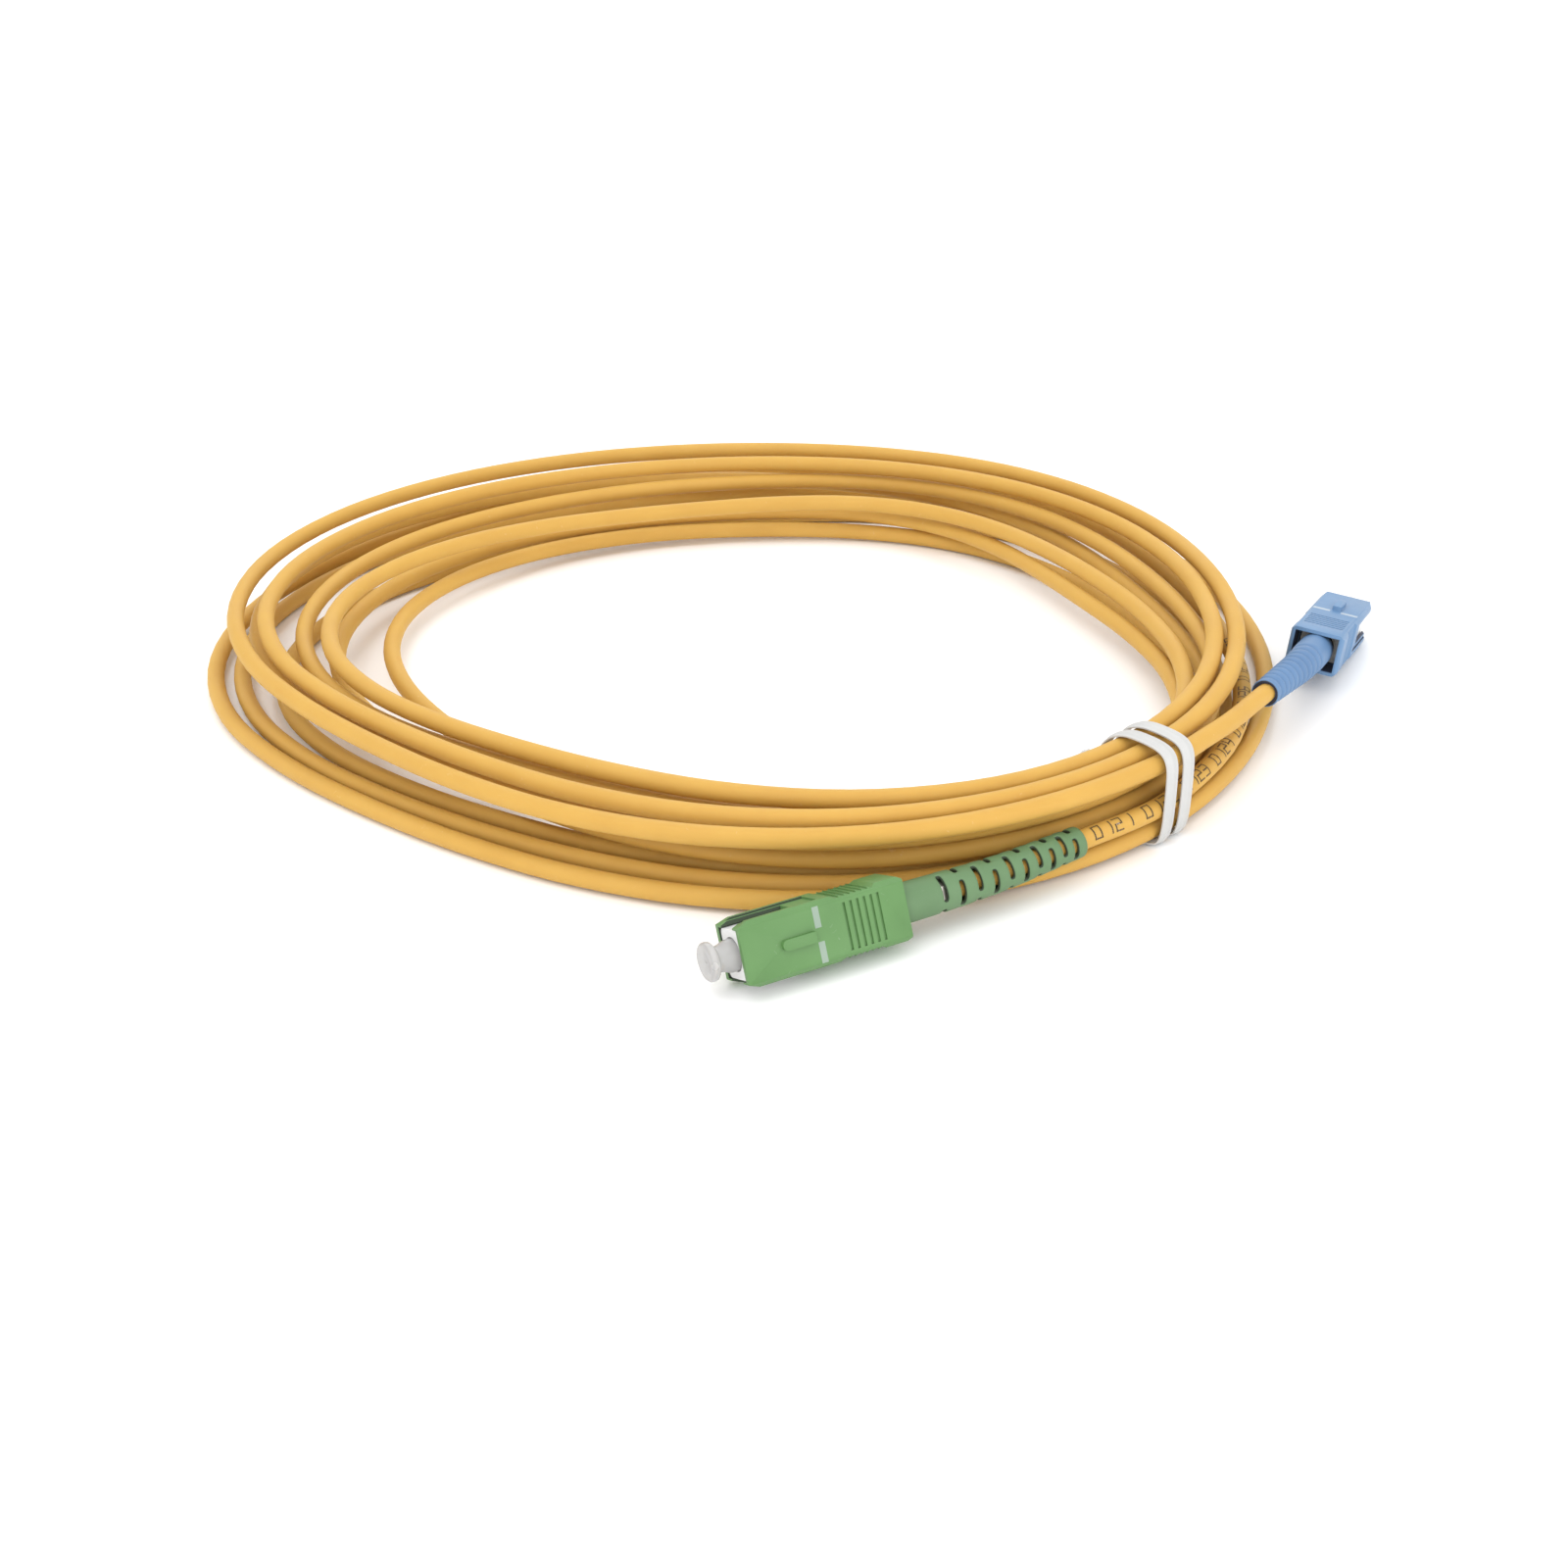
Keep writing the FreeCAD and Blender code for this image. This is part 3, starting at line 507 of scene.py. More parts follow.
PLACES = {
    PlugKind.ANGLED: Placement((13.4, -89.9, 5.42), 207.0, 0.0, -68.5),
    PlugKind.FLAT: Placement((88.5, -13.5, 7.4), 63.8, -7.4, 6.6),
}
# Route of each lead from its plug to the coil, in millimetres
LEAD_ROUTES = {
    PlugKind.ANGLED: ((28.5, -82.1, 5.5), (35.5, -77.9, 5.9), (42.3, -73.6, 6.2)),
    PlugKind.FLAT: ((78.8, -30.6, 9.8), (73.0, -39.6, 10.8), (67.2, -48.3, 11.4)),
}
# Where a lead starts behind its grip's rear face, and where it stops running straight
LEAD_START = -3.2 * MM
LEAD_KNEE = -9.0 * MM


def smooth_step(value: float) -> float:
    """Rise from 0 to 1, level at both ends."""
    value = min(max(value, 0.0), 1.0)
    return value * value * (3 - 2 * value)


def swell(share: float, middle: float, half: float) -> float:
    """A soft bump from 0 up to 1 at the middle share of a turn and back to 0."""
    offset = min(abs(share - middle) / half, 1.0)
    return math.cos(math.pi / 2 * offset) ** 2


@dataclass
class Coil:
    """The coiled cable's centre line: turns in columns and layers that fan out away from the tie.

    Each pass through the tie has its column and layer. The slack of a turn, in millimetres, is how
    far it stands out on the right, on the far side, at the far left, on the left and on the near side.
    """

    centre: Triple = (-4.7 * MM, 6.3 * MM, 0.0)
    radius: float = 81.3 * MM
    base: float = 1.63 * MM
    oval: float = 5.4 * MM
    oval_angle: float = math.radians(-38)
    lobe: float = 3.4 * MM
    lobe_angle: float = math.radians(50)
    tie_angle: float = math.radians(-49)
    far_angle: float = math.radians(75)
    pitch: float = 3.5 * MM
    fan: float = 6.0 * MM
    fan_lean: float = 0.75
    tie_lift: float = 0.75 * MM
    tie_reach: float = 0.25
    passes: tuple[Pair, ...] = (
        (0, 1), (0, 0), (1, 0), (2, 0), (2, 1), (1, 1), (1, 2), (2, 2), (2, 3), (1, 3), (0.15, 2.85),
    )
    bulges: tuple[float, ...] = (-0.5, 0, 0, 0.5, 0, -0.5, 0, 0.5, 0, -0.25)
    layer_shift: tuple[float, ...] = (1.5, -2.0, 2.0, -1.5)
    layer_change_start: float = 0.25
    layer_change_span: float = 0.5
    slack: tuple[tuple[float, ...], ...] = (
        (-6, 1, -7, 0, 2), (4, 0, -1, 3, 1), (-2, -2, -6, 5, 0), (-5, 1, 4, -10, 0), (-14, -3, 1, -5, 0),
        (-10, 1, 4, -3, 0), (-7, -3, 1, 0, -4), (-10, -4, -2, 4, -2), (1, 10, -1, -2, 2), (0, 1, 3.5, 0, 4),
    )
    right_swell: Pair = (0.18, 0.18)
    far_left_swell: Pair = (0.50, 0.18)
    left_swell: Pair = (0.65, 0.25)
    near_swell: Pair = (0.84, 0.14)
    points_per_turn: int = 24

    @property
    def turns(self) -> int:
        """How many turns the coil has."""
        return len(self.passes) - 1

    def layer(self, turn: int, share: float) -> float:
        """The layer at a share of a turn; it changes in the turn's middle half."""
        low, high = self.passes[turn][1], self.passes[turn + 1][1]
        return low + (high - low) * smooth_step((share - self.layer_change_start) / self.layer_change_span)

    def point(self, place: float, outset: float = 1.0) -> Vector:
        """A point of the coil.

        Args:
            place: Turns from the tie.
            outset: What the distance from the centre is multiplied by.

        Returns:
            The point.
        """
        turn = min(int(place), self.turns - 1)
        share = place - turn
        angle = self.tie_angle + 2 * math.pi * share
        column = self.passes[turn][0] + (self.passes[turn + 1][0] - self.passes[turn][0]) * share
        column += self.bulges[turn] * math.sin(math.pi * share)
        loose = (1 - math.cos(angle - self.tie_angle)) / 2
        fan = loose * (1 + self.fan_lean * math.cos(angle - self.far_angle))
        layer = self.layer(turn, share)
        lower = min(int(layer), len(self.layer_shift) - 2)
        rise = self.layer_shift[lower + 1] - self.layer_shift[lower]
        shift = self.layer_shift[lower] + rise * (layer - lower)
        radius = self.radius + self.oval * math.cos(2 * (angle - self.oval_angle))
        radius += self.lobe * math.cos(3 * (angle - self.lobe_angle))
        radius += (1 - column) * (self.pitch + self.fan * fan) + shift * fan * MM
        right, far, far_left, left, near = self.slack[turn]
        radius += (right * swell(share, *self.right_swell) + left * swell(share, *self.left_swell)) * MM
        radius += (far_left * swell(share, *self.far_left_swell) + near * swell(share, *self.near_swell)) * MM
        radius += far * loose**2 * MM
        lift = self.tie_lift * (1 - smooth_step(min(share, 1 - share) / self.tie_reach))
        radius *= outset
        height = self.base + self.pitch * layer + lift
        return Vector(self.centre) + Vector((radius * math.cos(angle), radius * math.sin(angle), height))

    def direction(self, place: float) -> Vector:
        """The coil's direction at a place."""
        step = 0.001
        return (self.point(min(place + step, self.turns)) - self.point(max(place - step, 0))).normalized()

    def control_points(self) -> list[Vector]:
        """The spline's points; it runs inside them, so they stand a little further out."""
        outset = 1 / math.cos(math.pi / self.points_per_turn)
        count = self.turns * self.points_per_turn
        return [self.point(index / self.points_per_turn, outset) for index in range(count + 1)]


@dataclass
class Line:
    """A centre line read from a curve, measured along itself."""

    points: list[Vector]
    lengths: list[float] = field(default_factory=list)

    def __post_init__(self) -> None:
        """Add up the lengths."""
        self.lengths = [0.0]
        for before, after in zip(self.points, self.points[1:]):
            self.lengths.append(self.lengths[-1] + (after - before).length)

    def at(self, distance: float) -> tuple[Vector, Vector]:
        """The point and direction at a distance from the start.

        Args:
            distance: Distance along the line; before its start, the line goes on straight.

        Returns:
            The point and the unit direction.
        """
        index = 0
        while index < len(self.points) - 2 and self.lengths[index + 1] < distance:
            index += 1
        way = (self.points[index + 1] - self.points[index]).normalized()
        return self.points[index] + way * (distance - self.lengths[index]), way

    def smooth_at(self, distance: float, reach: float = 0.8 * MM) -> tuple[Vector, Vector]:
        """The point at a distance, with the direction averaged over a short reach each side."""
        way = self.at(distance + reach)[0] - self.at(distance - reach)[0]
        return self.at(distance)[0], way.normalized()

    def reversed(self) -> Line:
        """The same line from its other end."""
        return Line(self.points[::-1])


def smooth_curve(name: str, route: list[Vector], steps: int) -> bpy.types.Object:
    """Make a curve object of one open smooth spline.

    Args:
        name: The object's name.
        route: The spline's control points.
        steps: Steps between two control points.

    Returns:
        The object.
    """
    curve = bpy.data.curves.new(name, "CURVE")
    curve.dimensions = "3D"
    curve.resolution_u = steps
    spline = curve.splines.new("NURBS")
    spline.points.add(len(route) - 1)
    for point, place in zip(spline.points, route):
        point.co = (*place, 1.0)
    spline.order_u = 3
    spline.use_endpoint_u = True
    return new_object(name, curve)


def centre_line(piece: bpy.types.Object) -> Line:
    """Read a curve object's centre line.

    Args:
        piece: The curve object, whose thickness stays as it is.

    Returns:
        The line.
    """
    depth = piece.data.bevel_depth
    piece.data.bevel_depth = 0.0
    mesh = evaluated_mesh(piece)
    line = Line([vertex.co.copy() for vertex in mesh.vertices])
    bpy.data.meshes.remove(mesh)
    piece.data.bevel_depth = depth
    return line


@dataclass
class Cable:
    """The jacketed cable from plug to plug, as one spline."""

    diameter: float = 3.0 * MM
    length: float = 5100.0 * MM
    sides: int = 6
    steps: int = 5
    coil_join: float = 3.0
    coil: Coil = field(default_factory=Coil)
    piece: bpy.types.Object = None

    def lead_points(self, kind: PlugKind, place: float, sign: float) -> list[Vector]:
        """A lead's control points from its plug to the coil.

        Args:
            kind: Whose lead.
            place: Where on the coil it ends, in turns.
            sign: 1 where the coil goes on from there, -1 where it arrives.

        Returns:
            The points, in order from the plug.
        """
        matrix = PLACES[kind].matrix()
        points = [matrix @ Vector((at, 0.0, 0.0)) for at in (LEAD_START, LEAD_KNEE)]
        points += [Vector(point) * MM for point in LEAD_ROUTES[kind]]
        before = self.coil.direction(place) * sign * self.diameter * self.coil_join
        points.append(self.coil.point(place) - before)
        return points

    def build(self) -> None:
        """Make the cable's curve."""
        route = self.lead_points(PlugKind.ANGLED, 0, 1)
        route += self.coil.control_points()
        route += reversed(self.lead_points(PlugKind.FLAT, self.coil.turns, -1))
        self.piece = smooth_curve("cable", route, self.steps)
        self.piece.data.bevel_depth = self.diameter / 2
        self.piece.data.bevel_resolution = self.sides
        self.piece.data.use_fill_caps = True

    def dress(self, wardrobe: Wardrobe) -> None:
        """Give the cable its jacket."""
        self.piece.data.materials.append(wardrobe["jacket"])

    def declare(self, far_pieces: list[bpy.types.Object]) -> None:
        """Say what the cable is: fix it to the cord, hide the model's leads and coil, and give it the
        jacket's slot.
        """
        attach(self.piece, "cord")
        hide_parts("green_lead", "cable_coil", "blue_lead")
        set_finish(self.piece, "jacket")
        start = PLACES[PlugKind.ANGLED].matrix() @ Vector((LEAD_START, 0.0, 0.0))


@dataclass
class Boot:
    """The flexible boot behind a plug, bent with the cable.

    The angled plug's boot is cut by staggered slots, the flat plug's has creases between rings. A
    crease's profile gives shares of half a slot's width and of its depth. The lip's profile gives,
    in millimetres, how far before the boot's end and how far out each of its corners lies.
    """

    kind: PlugKind
    front: float = 2.6 * MM
    length: float = 26.5 * MM
    plain: float = 5.0 * MM
    root_d: float = 5.75 * MM
    end_d: float = 4.5 * MM
    wall: float = 0.75 * MM
    stations: int = 10
    first_step: float = 2.35 * MM
    last_step: float = 1.7 * MM
    slot_w: float = 0.68 * MM
    slot_shoulder: float = 2.2
    slot_end: float = 0.45
    slot_columns: int = 12
    slot_turns: tuple[int, int] = (-9, -4)
    slots_round: int = 3
    crease_depth: float = 0.42 * MM
    crease_profile: tuple[Pair, ...] = ((-2.4, -0.1), (-0.85, 0.1), (-0.3, 1.0), (0.3, 1.0), (0.85, 0.1))
    crease_bottom: int = 2
    lip_profile: tuple[Pair, ...] = ((0.5, 0.02), (0.1, 0.0), (0.0, -0.1))
    columns: int = 48

    def station_places(self) -> list[float]:
        """Distances behind the grip of the slots or creases, which draw closer towards the cable."""
        places = [self.plain + self.first_step / 2]
        for index in range(self.stations - 1):
            shrink = (self.first_step - self.last_step) * index / (self.stations - 2)
            places.append(places[-1] + self.first_step - shrink)
        return places

    def radius(self, distance: float) -> float:
        """The boot's plain outer radius at a distance behind the grip."""
        share = max(0.0, (distance - self.plain) / (self.length - self.plain))
        return (self.root_d + (self.end_d - self.root_d) * share) / 2

    def rows(self) -> list[tuple[float, float, int]]:
        """Each ring of corners: distance, radius and the slot or crease that starts there, or -1."""
        rows = [(place, self.radius(0), -1) for place in (-self.front, 0.0, self.plain / 2)]
        half = self.slot_w / 2
        shoulder = self.slot_shoulder * half
        for index, place in enumerate(self.station_places()):
            radius = self.radius(place)
            if self.kind is PlugKind.ANGLED:
                rows += [(place - shoulder, radius, -1), (place - half, radius, index)]
                rows += [(place + half, radius, -1), (place + shoulder, radius, -1)]
                continue
            for step, (offset, depth) in enumerate(self.crease_profile):
                station = index if step == self.crease_bottom else -1
                rows.append((place + offset * half, radius - depth * self.crease_depth, station))
        for back, out in self.lip_profile:
            rows.append((self.length - back * MM, self.radius(self.length) + out * MM, -1))
        return rows

    def is_slot(self, station: int, column: int) -> bool:
        """Whether a column of faces is open at a slot's station, which is -1 between stations."""
        turned = (column - self.slot_turns[station % 2]) % (self.columns // self.slots_round)
        return self.kind is PlugKind.ANGLED and station >= 0 and turned < self.slot_columns

    def slot_inset(self, rows: list[tuple[float, float, int]], row: int, column: int) -> float:
        """How far a corner at the end of a slot moves in towards the slot's middle, which rounds the end.

        Args:
            rows: The rings of corners.
            row: The corner's ring.
            column: The corner's column.

        Returns:
            The distance, forwards or backwards; 0 away from a slot's end.
        """
        for edge, sign in ((row, 1), (row - 1, -1)):
            station = rows[edge][2] if edge >= 0 else -1
            if self.is_slot(station, column) != self.is_slot(station, column - 1):
                return sign * self.slot_end * self.slot_w / 2
        return 0.0

    def skin(self, line: Line) -> tuple[bpy.types.Object, list[int]]:
        """Make the boot's outer skin, which has no thickness yet.

        Args:
            line: The cable's centre line from this plug.

        Returns:
            The skin and the indices of the faces at the bottom of a crease.
        """
        key_way = PLACES[self.kind].matrix().to_3x3() @ UP
        rows = self.rows()
        points = []
        for row, (distance, radius, _) in enumerate(rows):
            centre, way = line.smooth_at(distance + LEAD_START)
            up = (key_way - way * key_way.dot(way)).normalized()
            side = way.cross(up)
            for column in range(self.columns):
                angle = 2 * math.pi * column / self.columns
                inset = self.slot_inset(rows, row, column)
                points.append(centre + way * inset + (up * math.cos(angle) + side * math.sin(angle)) * radius)
        faces = []
        creases = []
        for row, (_, _, station) in enumerate(rows[:-1]):
            ring = band(row * self.columns, (row + 1) * self.columns, self.columns)
            if station >= 0 and self.kind is PlugKind.FLAT:
                creases += range(len(faces), len(faces) + len(ring))
            faces += [face for column, face in enumerate(ring) if not self.is_slot(station, column)]
        return mesh_object(self.kind.value + "_boot_skin", points, faces), creases

    def build(self, line: Line, wardrobe: Wardrobe) -> bpy.types.Object:
        """Make the boot, with painted shade on its inside, on the walls of its slots and at the bottoms of
        its creases.

        Args:
            line: The cable's centre line from this plug.
            wardrobe: The finishes.

        Returns:
            The boot's object.
        """
        colour = self.kind.value
        boot, creases = self.skin(line)
        for part in ("boot", "hollow"):
            boot.data.materials.append(wardrobe[f"{colour}_{part}"])
        # Painted shade: the faces at the bottom of each crease get the darker second material
        for face in creases:
            boot.data.polygons[face].material_index = 1
        wall = boot.modifiers.new("wall", "SOLIDIFY")
        # Painted shade on the inner shell and on the rims along the slots' walls
        wall.material_offset = 1
        wall.material_offset_rim = 1
        wall.thickness = self.wall
        wall.use_even_offset = False
        wall.offset = -1.0
        rounding = boot.modifiers.new("rounding", "SUBSURF")
        rounding.levels = 1
        rounding.render_levels = 1
        shade_smooth(boot)
        settle(boot)
        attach(boot, "cord")
        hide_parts(colour + "_boot")
        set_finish(boot, colour + "_boot")
        return boot


BOOTS = {
    PlugKind.ANGLED: Boot(
        PlugKind.ANGLED,
        length=31.0 * MM,
        plain=5.15 * MM,
        end_d=4.6 * MM,
        first_step=2.9 * MM,
        last_step=2.1 * MM,
    ),
    PlugKind.FLAT: Boot(PlugKind.FLAT, root_d=5.8 * MM, slot_w=0.8 * MM, crease_depth=0.5 * MM),
}


@dataclass
class Plug:
    """One plug with the pieces that move on it.

    The cap's outline is a closed run of distances along the axis and diameters, in millimetres.
    """

    kind: PlugKind
    grip_h: float = 7.4 * MM
    tail_h: float = 7.2 * MM
    grip_l: float = 25.0 * MM
    grip_edge: float = 0.09 * MM
    weld_gap: float = 0.001 * MM
    flat_angle: float = math.radians(1)
    # Grip faces that get painted shade: those facing inward further than this, and leaning along the axis
    # less than this
    hollow_facing: float = 1.2 * MM
    hollow_tilt: float = 0.5
    stripe_x: float = 13.1 * MM
    stripe_w: float = 0.95 * MM
    stripe_gap: float = 1.9 * MM
    stripe_l: float = 2.9 * MM
    stripe_t: float = 0.02 * MM
    stripe_edge: float = 0.01 * MM
    frame_w: float = 6.9 * MM
    frame_h: float = 5.5 * MM
    frame_rear: float = 5.0 * MM
    frame_front: float = 24.8 * MM
    frame_corner: float = 0.7 * MM
    frame_edge: float = 0.12 * MM
    mouth_d: float = 4.7 * MM
    mouth_l: float = 5.4 * MM
    seat_wall: float = 0.8 * MM
    seat_hole_d: float = 2.7 * MM
    chamber_d: float = 4.5 * MM
    ferrule_d: float = 2.499 * MM
    ferrule_rear: float = 15.5 * MM
    ferrule_tip: float = 26.0 * MM
    ferrule_bore: float = 0.14 * MM
    ferrule_edge: float = 0.04 * MM
    ferrule_travel: float = 1.0 * MM
    tip_bevel: float = 0.4 * MM
    tip_angle: float = math.radians(8.0)
    tip_reach: float = 0.01 * MM
    spring_edge: float = 0.05 * MM
    cap_outline: tuple[Pair, ...] = (
        (20.6, 2.55), (20.6, 4.1), (22.8, 4.1), (23.2, 4.5), (25.5, 4.5), (26.0, 4.3), (26.5, 3.9),
        (26.9, 3.65), (27.2, 3.6), (27.55, 3.9), (27.8, 4.8), (28.0, 5.25), (28.35, 5.45), (28.8, 5.35),
        (29.05, 4.9), (29.1, 3.6), (28.85, 2.6), (28.8, 0.3), (28.2, 0.28), (26.6, 0.3), (26.4, 2.55),
    )
    cap_edge: float = 0.06 * MM
    ring_sides: int = 64
    pieces: list[bpy.types.Object] = field(default_factory=list)

    @property
    def colour(self) -> str:
        """The colour's name, which starts the names of the plug's nodes."""
        return self.kind.value

    def keep(self, piece: bpy.types.Object, body: str, slot: str, *nodes: str) -> None:
        """Fix a finished piece to its body.

        Args:
            piece: The piece, in the plug's own axes.
            body: The body it moves with.
            slot: The record's material slot.
            *nodes: The model's nodes that it stands for.
        """
        piece.data.transform(PLACES[self.kind].matrix())
        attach(piece, body)
        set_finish(piece, slot)
        if nodes:
            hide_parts(*nodes)
        self.pieces.append(piece)

    def own_mesh(self, node: bpy.types.Object) -> bpy.types.Mesh:
        """A copy of a node's mesh in the plug's own axes.

        Args:
            node: The model's node.

        Returns:
            The mesh.
        """
        mesh = node.data.copy()
        mesh.materials.clear()
        mesh.transform(PLACES[self.kind].matrix().inverted())
        return mesh

    def build_spring(self, node: bpy.types.Object) -> None:
        """Make the ferrule's spring.

        Args:
            node: The model's spring.
        """
        mesh = self.own_mesh(node)
        along = [vertex.co.x for vertex in mesh.vertices]
        rear = min(along)
        share_left = 1 - self.ferrule_travel / (max(along) - rear)
        spring = soften(new_object(self.colour + "_spring_coil", mesh), self.spring_edge, 60.0)
        self.keep(spring, "cord", "spring_steel", self.colour + "_ferrule_spring")
        matrix = PLACES[self.kind].matrix()
        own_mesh(spring)

    def build_grip(self, node: bpy.types.Object) -> None:
        """Make the grip from the model's solid, with every edge rounded as moulded and painted shade on its
        inside.

        Args:
            node: The model's grip.
        """
        mesh = self.own_mesh(node)
        work = bmesh.new()
        work.from_mesh(mesh)
        bmesh.ops.remove_doubles(work, verts=work.verts, dist=self.weld_gap)
        bmesh.ops.dissolve_limit(work, angle_limit=self.flat_angle, verts=work.verts, edges=work.edges)
        work.to_mesh(mesh)
        work.free()
        grip = soften(new_object(self.colour + "_grip_shell", mesh), self.grip_edge, 30.0)
        # Painted shade: the inward faces of the grip's inside get the darker second material
        for polygon in grip.data.polygons:
            outward = polygon.normal.y * polygon.center.y + polygon.normal.z * polygon.center.z
            if outward < -self.hollow_facing and abs(polygon.normal.x) < self.hollow_tilt:
                polygon.material_index = 1
        self.keep(grip, self.colour + "_grip_body", self.colour + "_plastic", self.colour + "_grip")

    def build_stripes(self) -> None:
        """Make the two painted bars beside the key."""
        height = (self.tail_h + (self.grip_h - self.tail_h) * self.stripe_x / self.grip_l) / 2
        for side, name in ((-1, "low"), (1, "high")):
            near = side * self.stripe_gap / 2
            far = side * (self.stripe_gap / 2 + self.stripe_l)
            corners = [(0, near), (self.stripe_w, near), (self.stripe_w, far), (0, far)]
            points = []
            for lift in (-self.stripe_t, self.stripe_t):
                points += [Vector((self.stripe_x + x, y, height + lift)) for x, y in corners]
            faces = [(0, 1, 2, 3), (4, 5, 6, 7), *band(0, 4, 4)]
            bar = mesh_object(f"{self.colour}_stripe_{name}", points, faces)
            soften(bar, self.stripe_edge)
            self.keep(bar, self.colour + "_grip_body", "frame_plastic")

    def ring(self, x: float, width: float, height: float, corner: float) -> list[Vector]:
        """A rounded rectangle across the plug's axis, or a circle where the corner is half of both sides.

        Args:
            x: Where along the axis.
            width: Its size across the wide face.
            height: Its size along the key's way.
            corner: The radius of its corners.

        Returns:
            The ring's points.
        """
        points = []
        for index in range(self.ring_sides):
            angle = 2 * math.pi * (index + 0.5) / self.ring_sides
            y = math.copysign(width / 2 - corner, math.cos(angle)) + corner * math.cos(angle)
            z = math.copysign(height / 2 - corner, math.sin(angle)) + corner * math.sin(angle)
            points.append(Vector((x, y, z)))
        return points

    def round_rings(self, outline: list[Pair]) -> list[list[Vector]]:
        """A circle for each pair of distance along the axis and diameter."""
        return [self.ring(x, across, across, across / 2) for x, across in outline]

    @staticmethod
    def closed_skin(name: str, rings: list[list[Vector]]) -> bpy.types.Object:
        """Join rings of as many points each into one mesh, the last one to the first.

        Args:
            name: The object's name.
            rings: The rings, in order.

        Returns:
            The object.
        """
        count = len(rings[0])
        faces = []
        for row in range(len(rings)):
            faces += band(row * count, (row + 1) % len(rings) * count, count)
        return mesh_object(name, [point for ring in rings for point in ring], faces)

    def build_frame(self) -> None:
        """Make the inner housing with its round mouth and the ferrule's seat."""
        seat = self.frame_front - self.mouth_l
        behind = seat - self.seat_wall
        bores = [
            (self.frame_front, self.mouth_d), (seat, self.mouth_d), (seat, self.seat_hole_d),
            (behind, self.seat_hole_d), (behind, self.chamber_d), (self.frame_rear, self.chamber_d),
        ]
        ends = (self.frame_rear, self.frame_front)
        rings = [self.ring(x, self.frame_w, self.frame_h, self.frame_corner) for x in ends]
        rings += self.round_rings(bores)
        frame = soften(self.closed_skin(self.colour + "_housing", rings), self.frame_edge)
        self.keep(frame, "cord", "frame_plastic", self.colour + "_plug_frame")

    def build_ferrule(self) -> None:
        """Make the ceramic ferrule with its bevelled tip, angled on the green plug."""
        tip_d = self.ferrule_d - 2 * self.tip_bevel
        outline = [
            (self.ferrule_rear, self.ferrule_bore), (self.ferrule_rear, self.ferrule_d),
            (self.ferrule_tip - self.tip_bevel, self.ferrule_d), (self.ferrule_tip, tip_d),
            (self.ferrule_tip, self.ferrule_bore),
        ]
        ferrule = self.closed_skin(self.colour + "_ceramic", self.round_rings(outline))
        if self.kind is PlugKind.ANGLED:
            for vertex in ferrule.data.vertices:
                if vertex.co.x > self.ferrule_tip - self.tip_reach:
                    vertex.co.x -= (vertex.co.z + tip_d / 2) * math.tan(self.tip_angle)
        soften(ferrule, self.ferrule_edge)
        self.keep(ferrule, self.colour + "_ferrule_body", "zirconia", self.colour + "_ferrule")

    def build_cap(self) -> None:
        """Make the milky dust cap with its bore, its neck and its pull disc."""
        outline = [(x * MM, across * MM) for x, across in self.cap_outline]
        cap = soften(self.closed_skin(self.colour + "_cap", self.round_rings(outline)), self.cap_edge)
        self.keep(cap, self.colour + "_cap_body", "cap_plastic", self.colour + "_dust_cap")

    def build(self, nodes: dict[str, bpy.types.Object]) -> None:
        """Make the plug's pieces from their sizes and from the model's nodes."""
        self.build_grip(nodes[self.colour + "_grip"])
        self.build_stripes()
        self.build_frame()
        self.build_ferrule()
        self.build_spring(nodes[self.colour + "_ferrule_spring"])
        self.build_cap()

    def dress(self, wardrobe: Wardrobe) -> None:
        """Give every piece of the plug its finish, and the grip a second one of painted shade for its inside.
        """
        for piece in self.pieces:
            name = self.colour + "_stripes" if "stripe" in piece.name else piece["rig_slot"]
            piece.data.materials.append(wardrobe[name])
            if "grip" in piece.name:
                # The grip's second material is painted shade for its inside
                piece.data.materials.append(wardrobe[self.colour + "_hollow"])


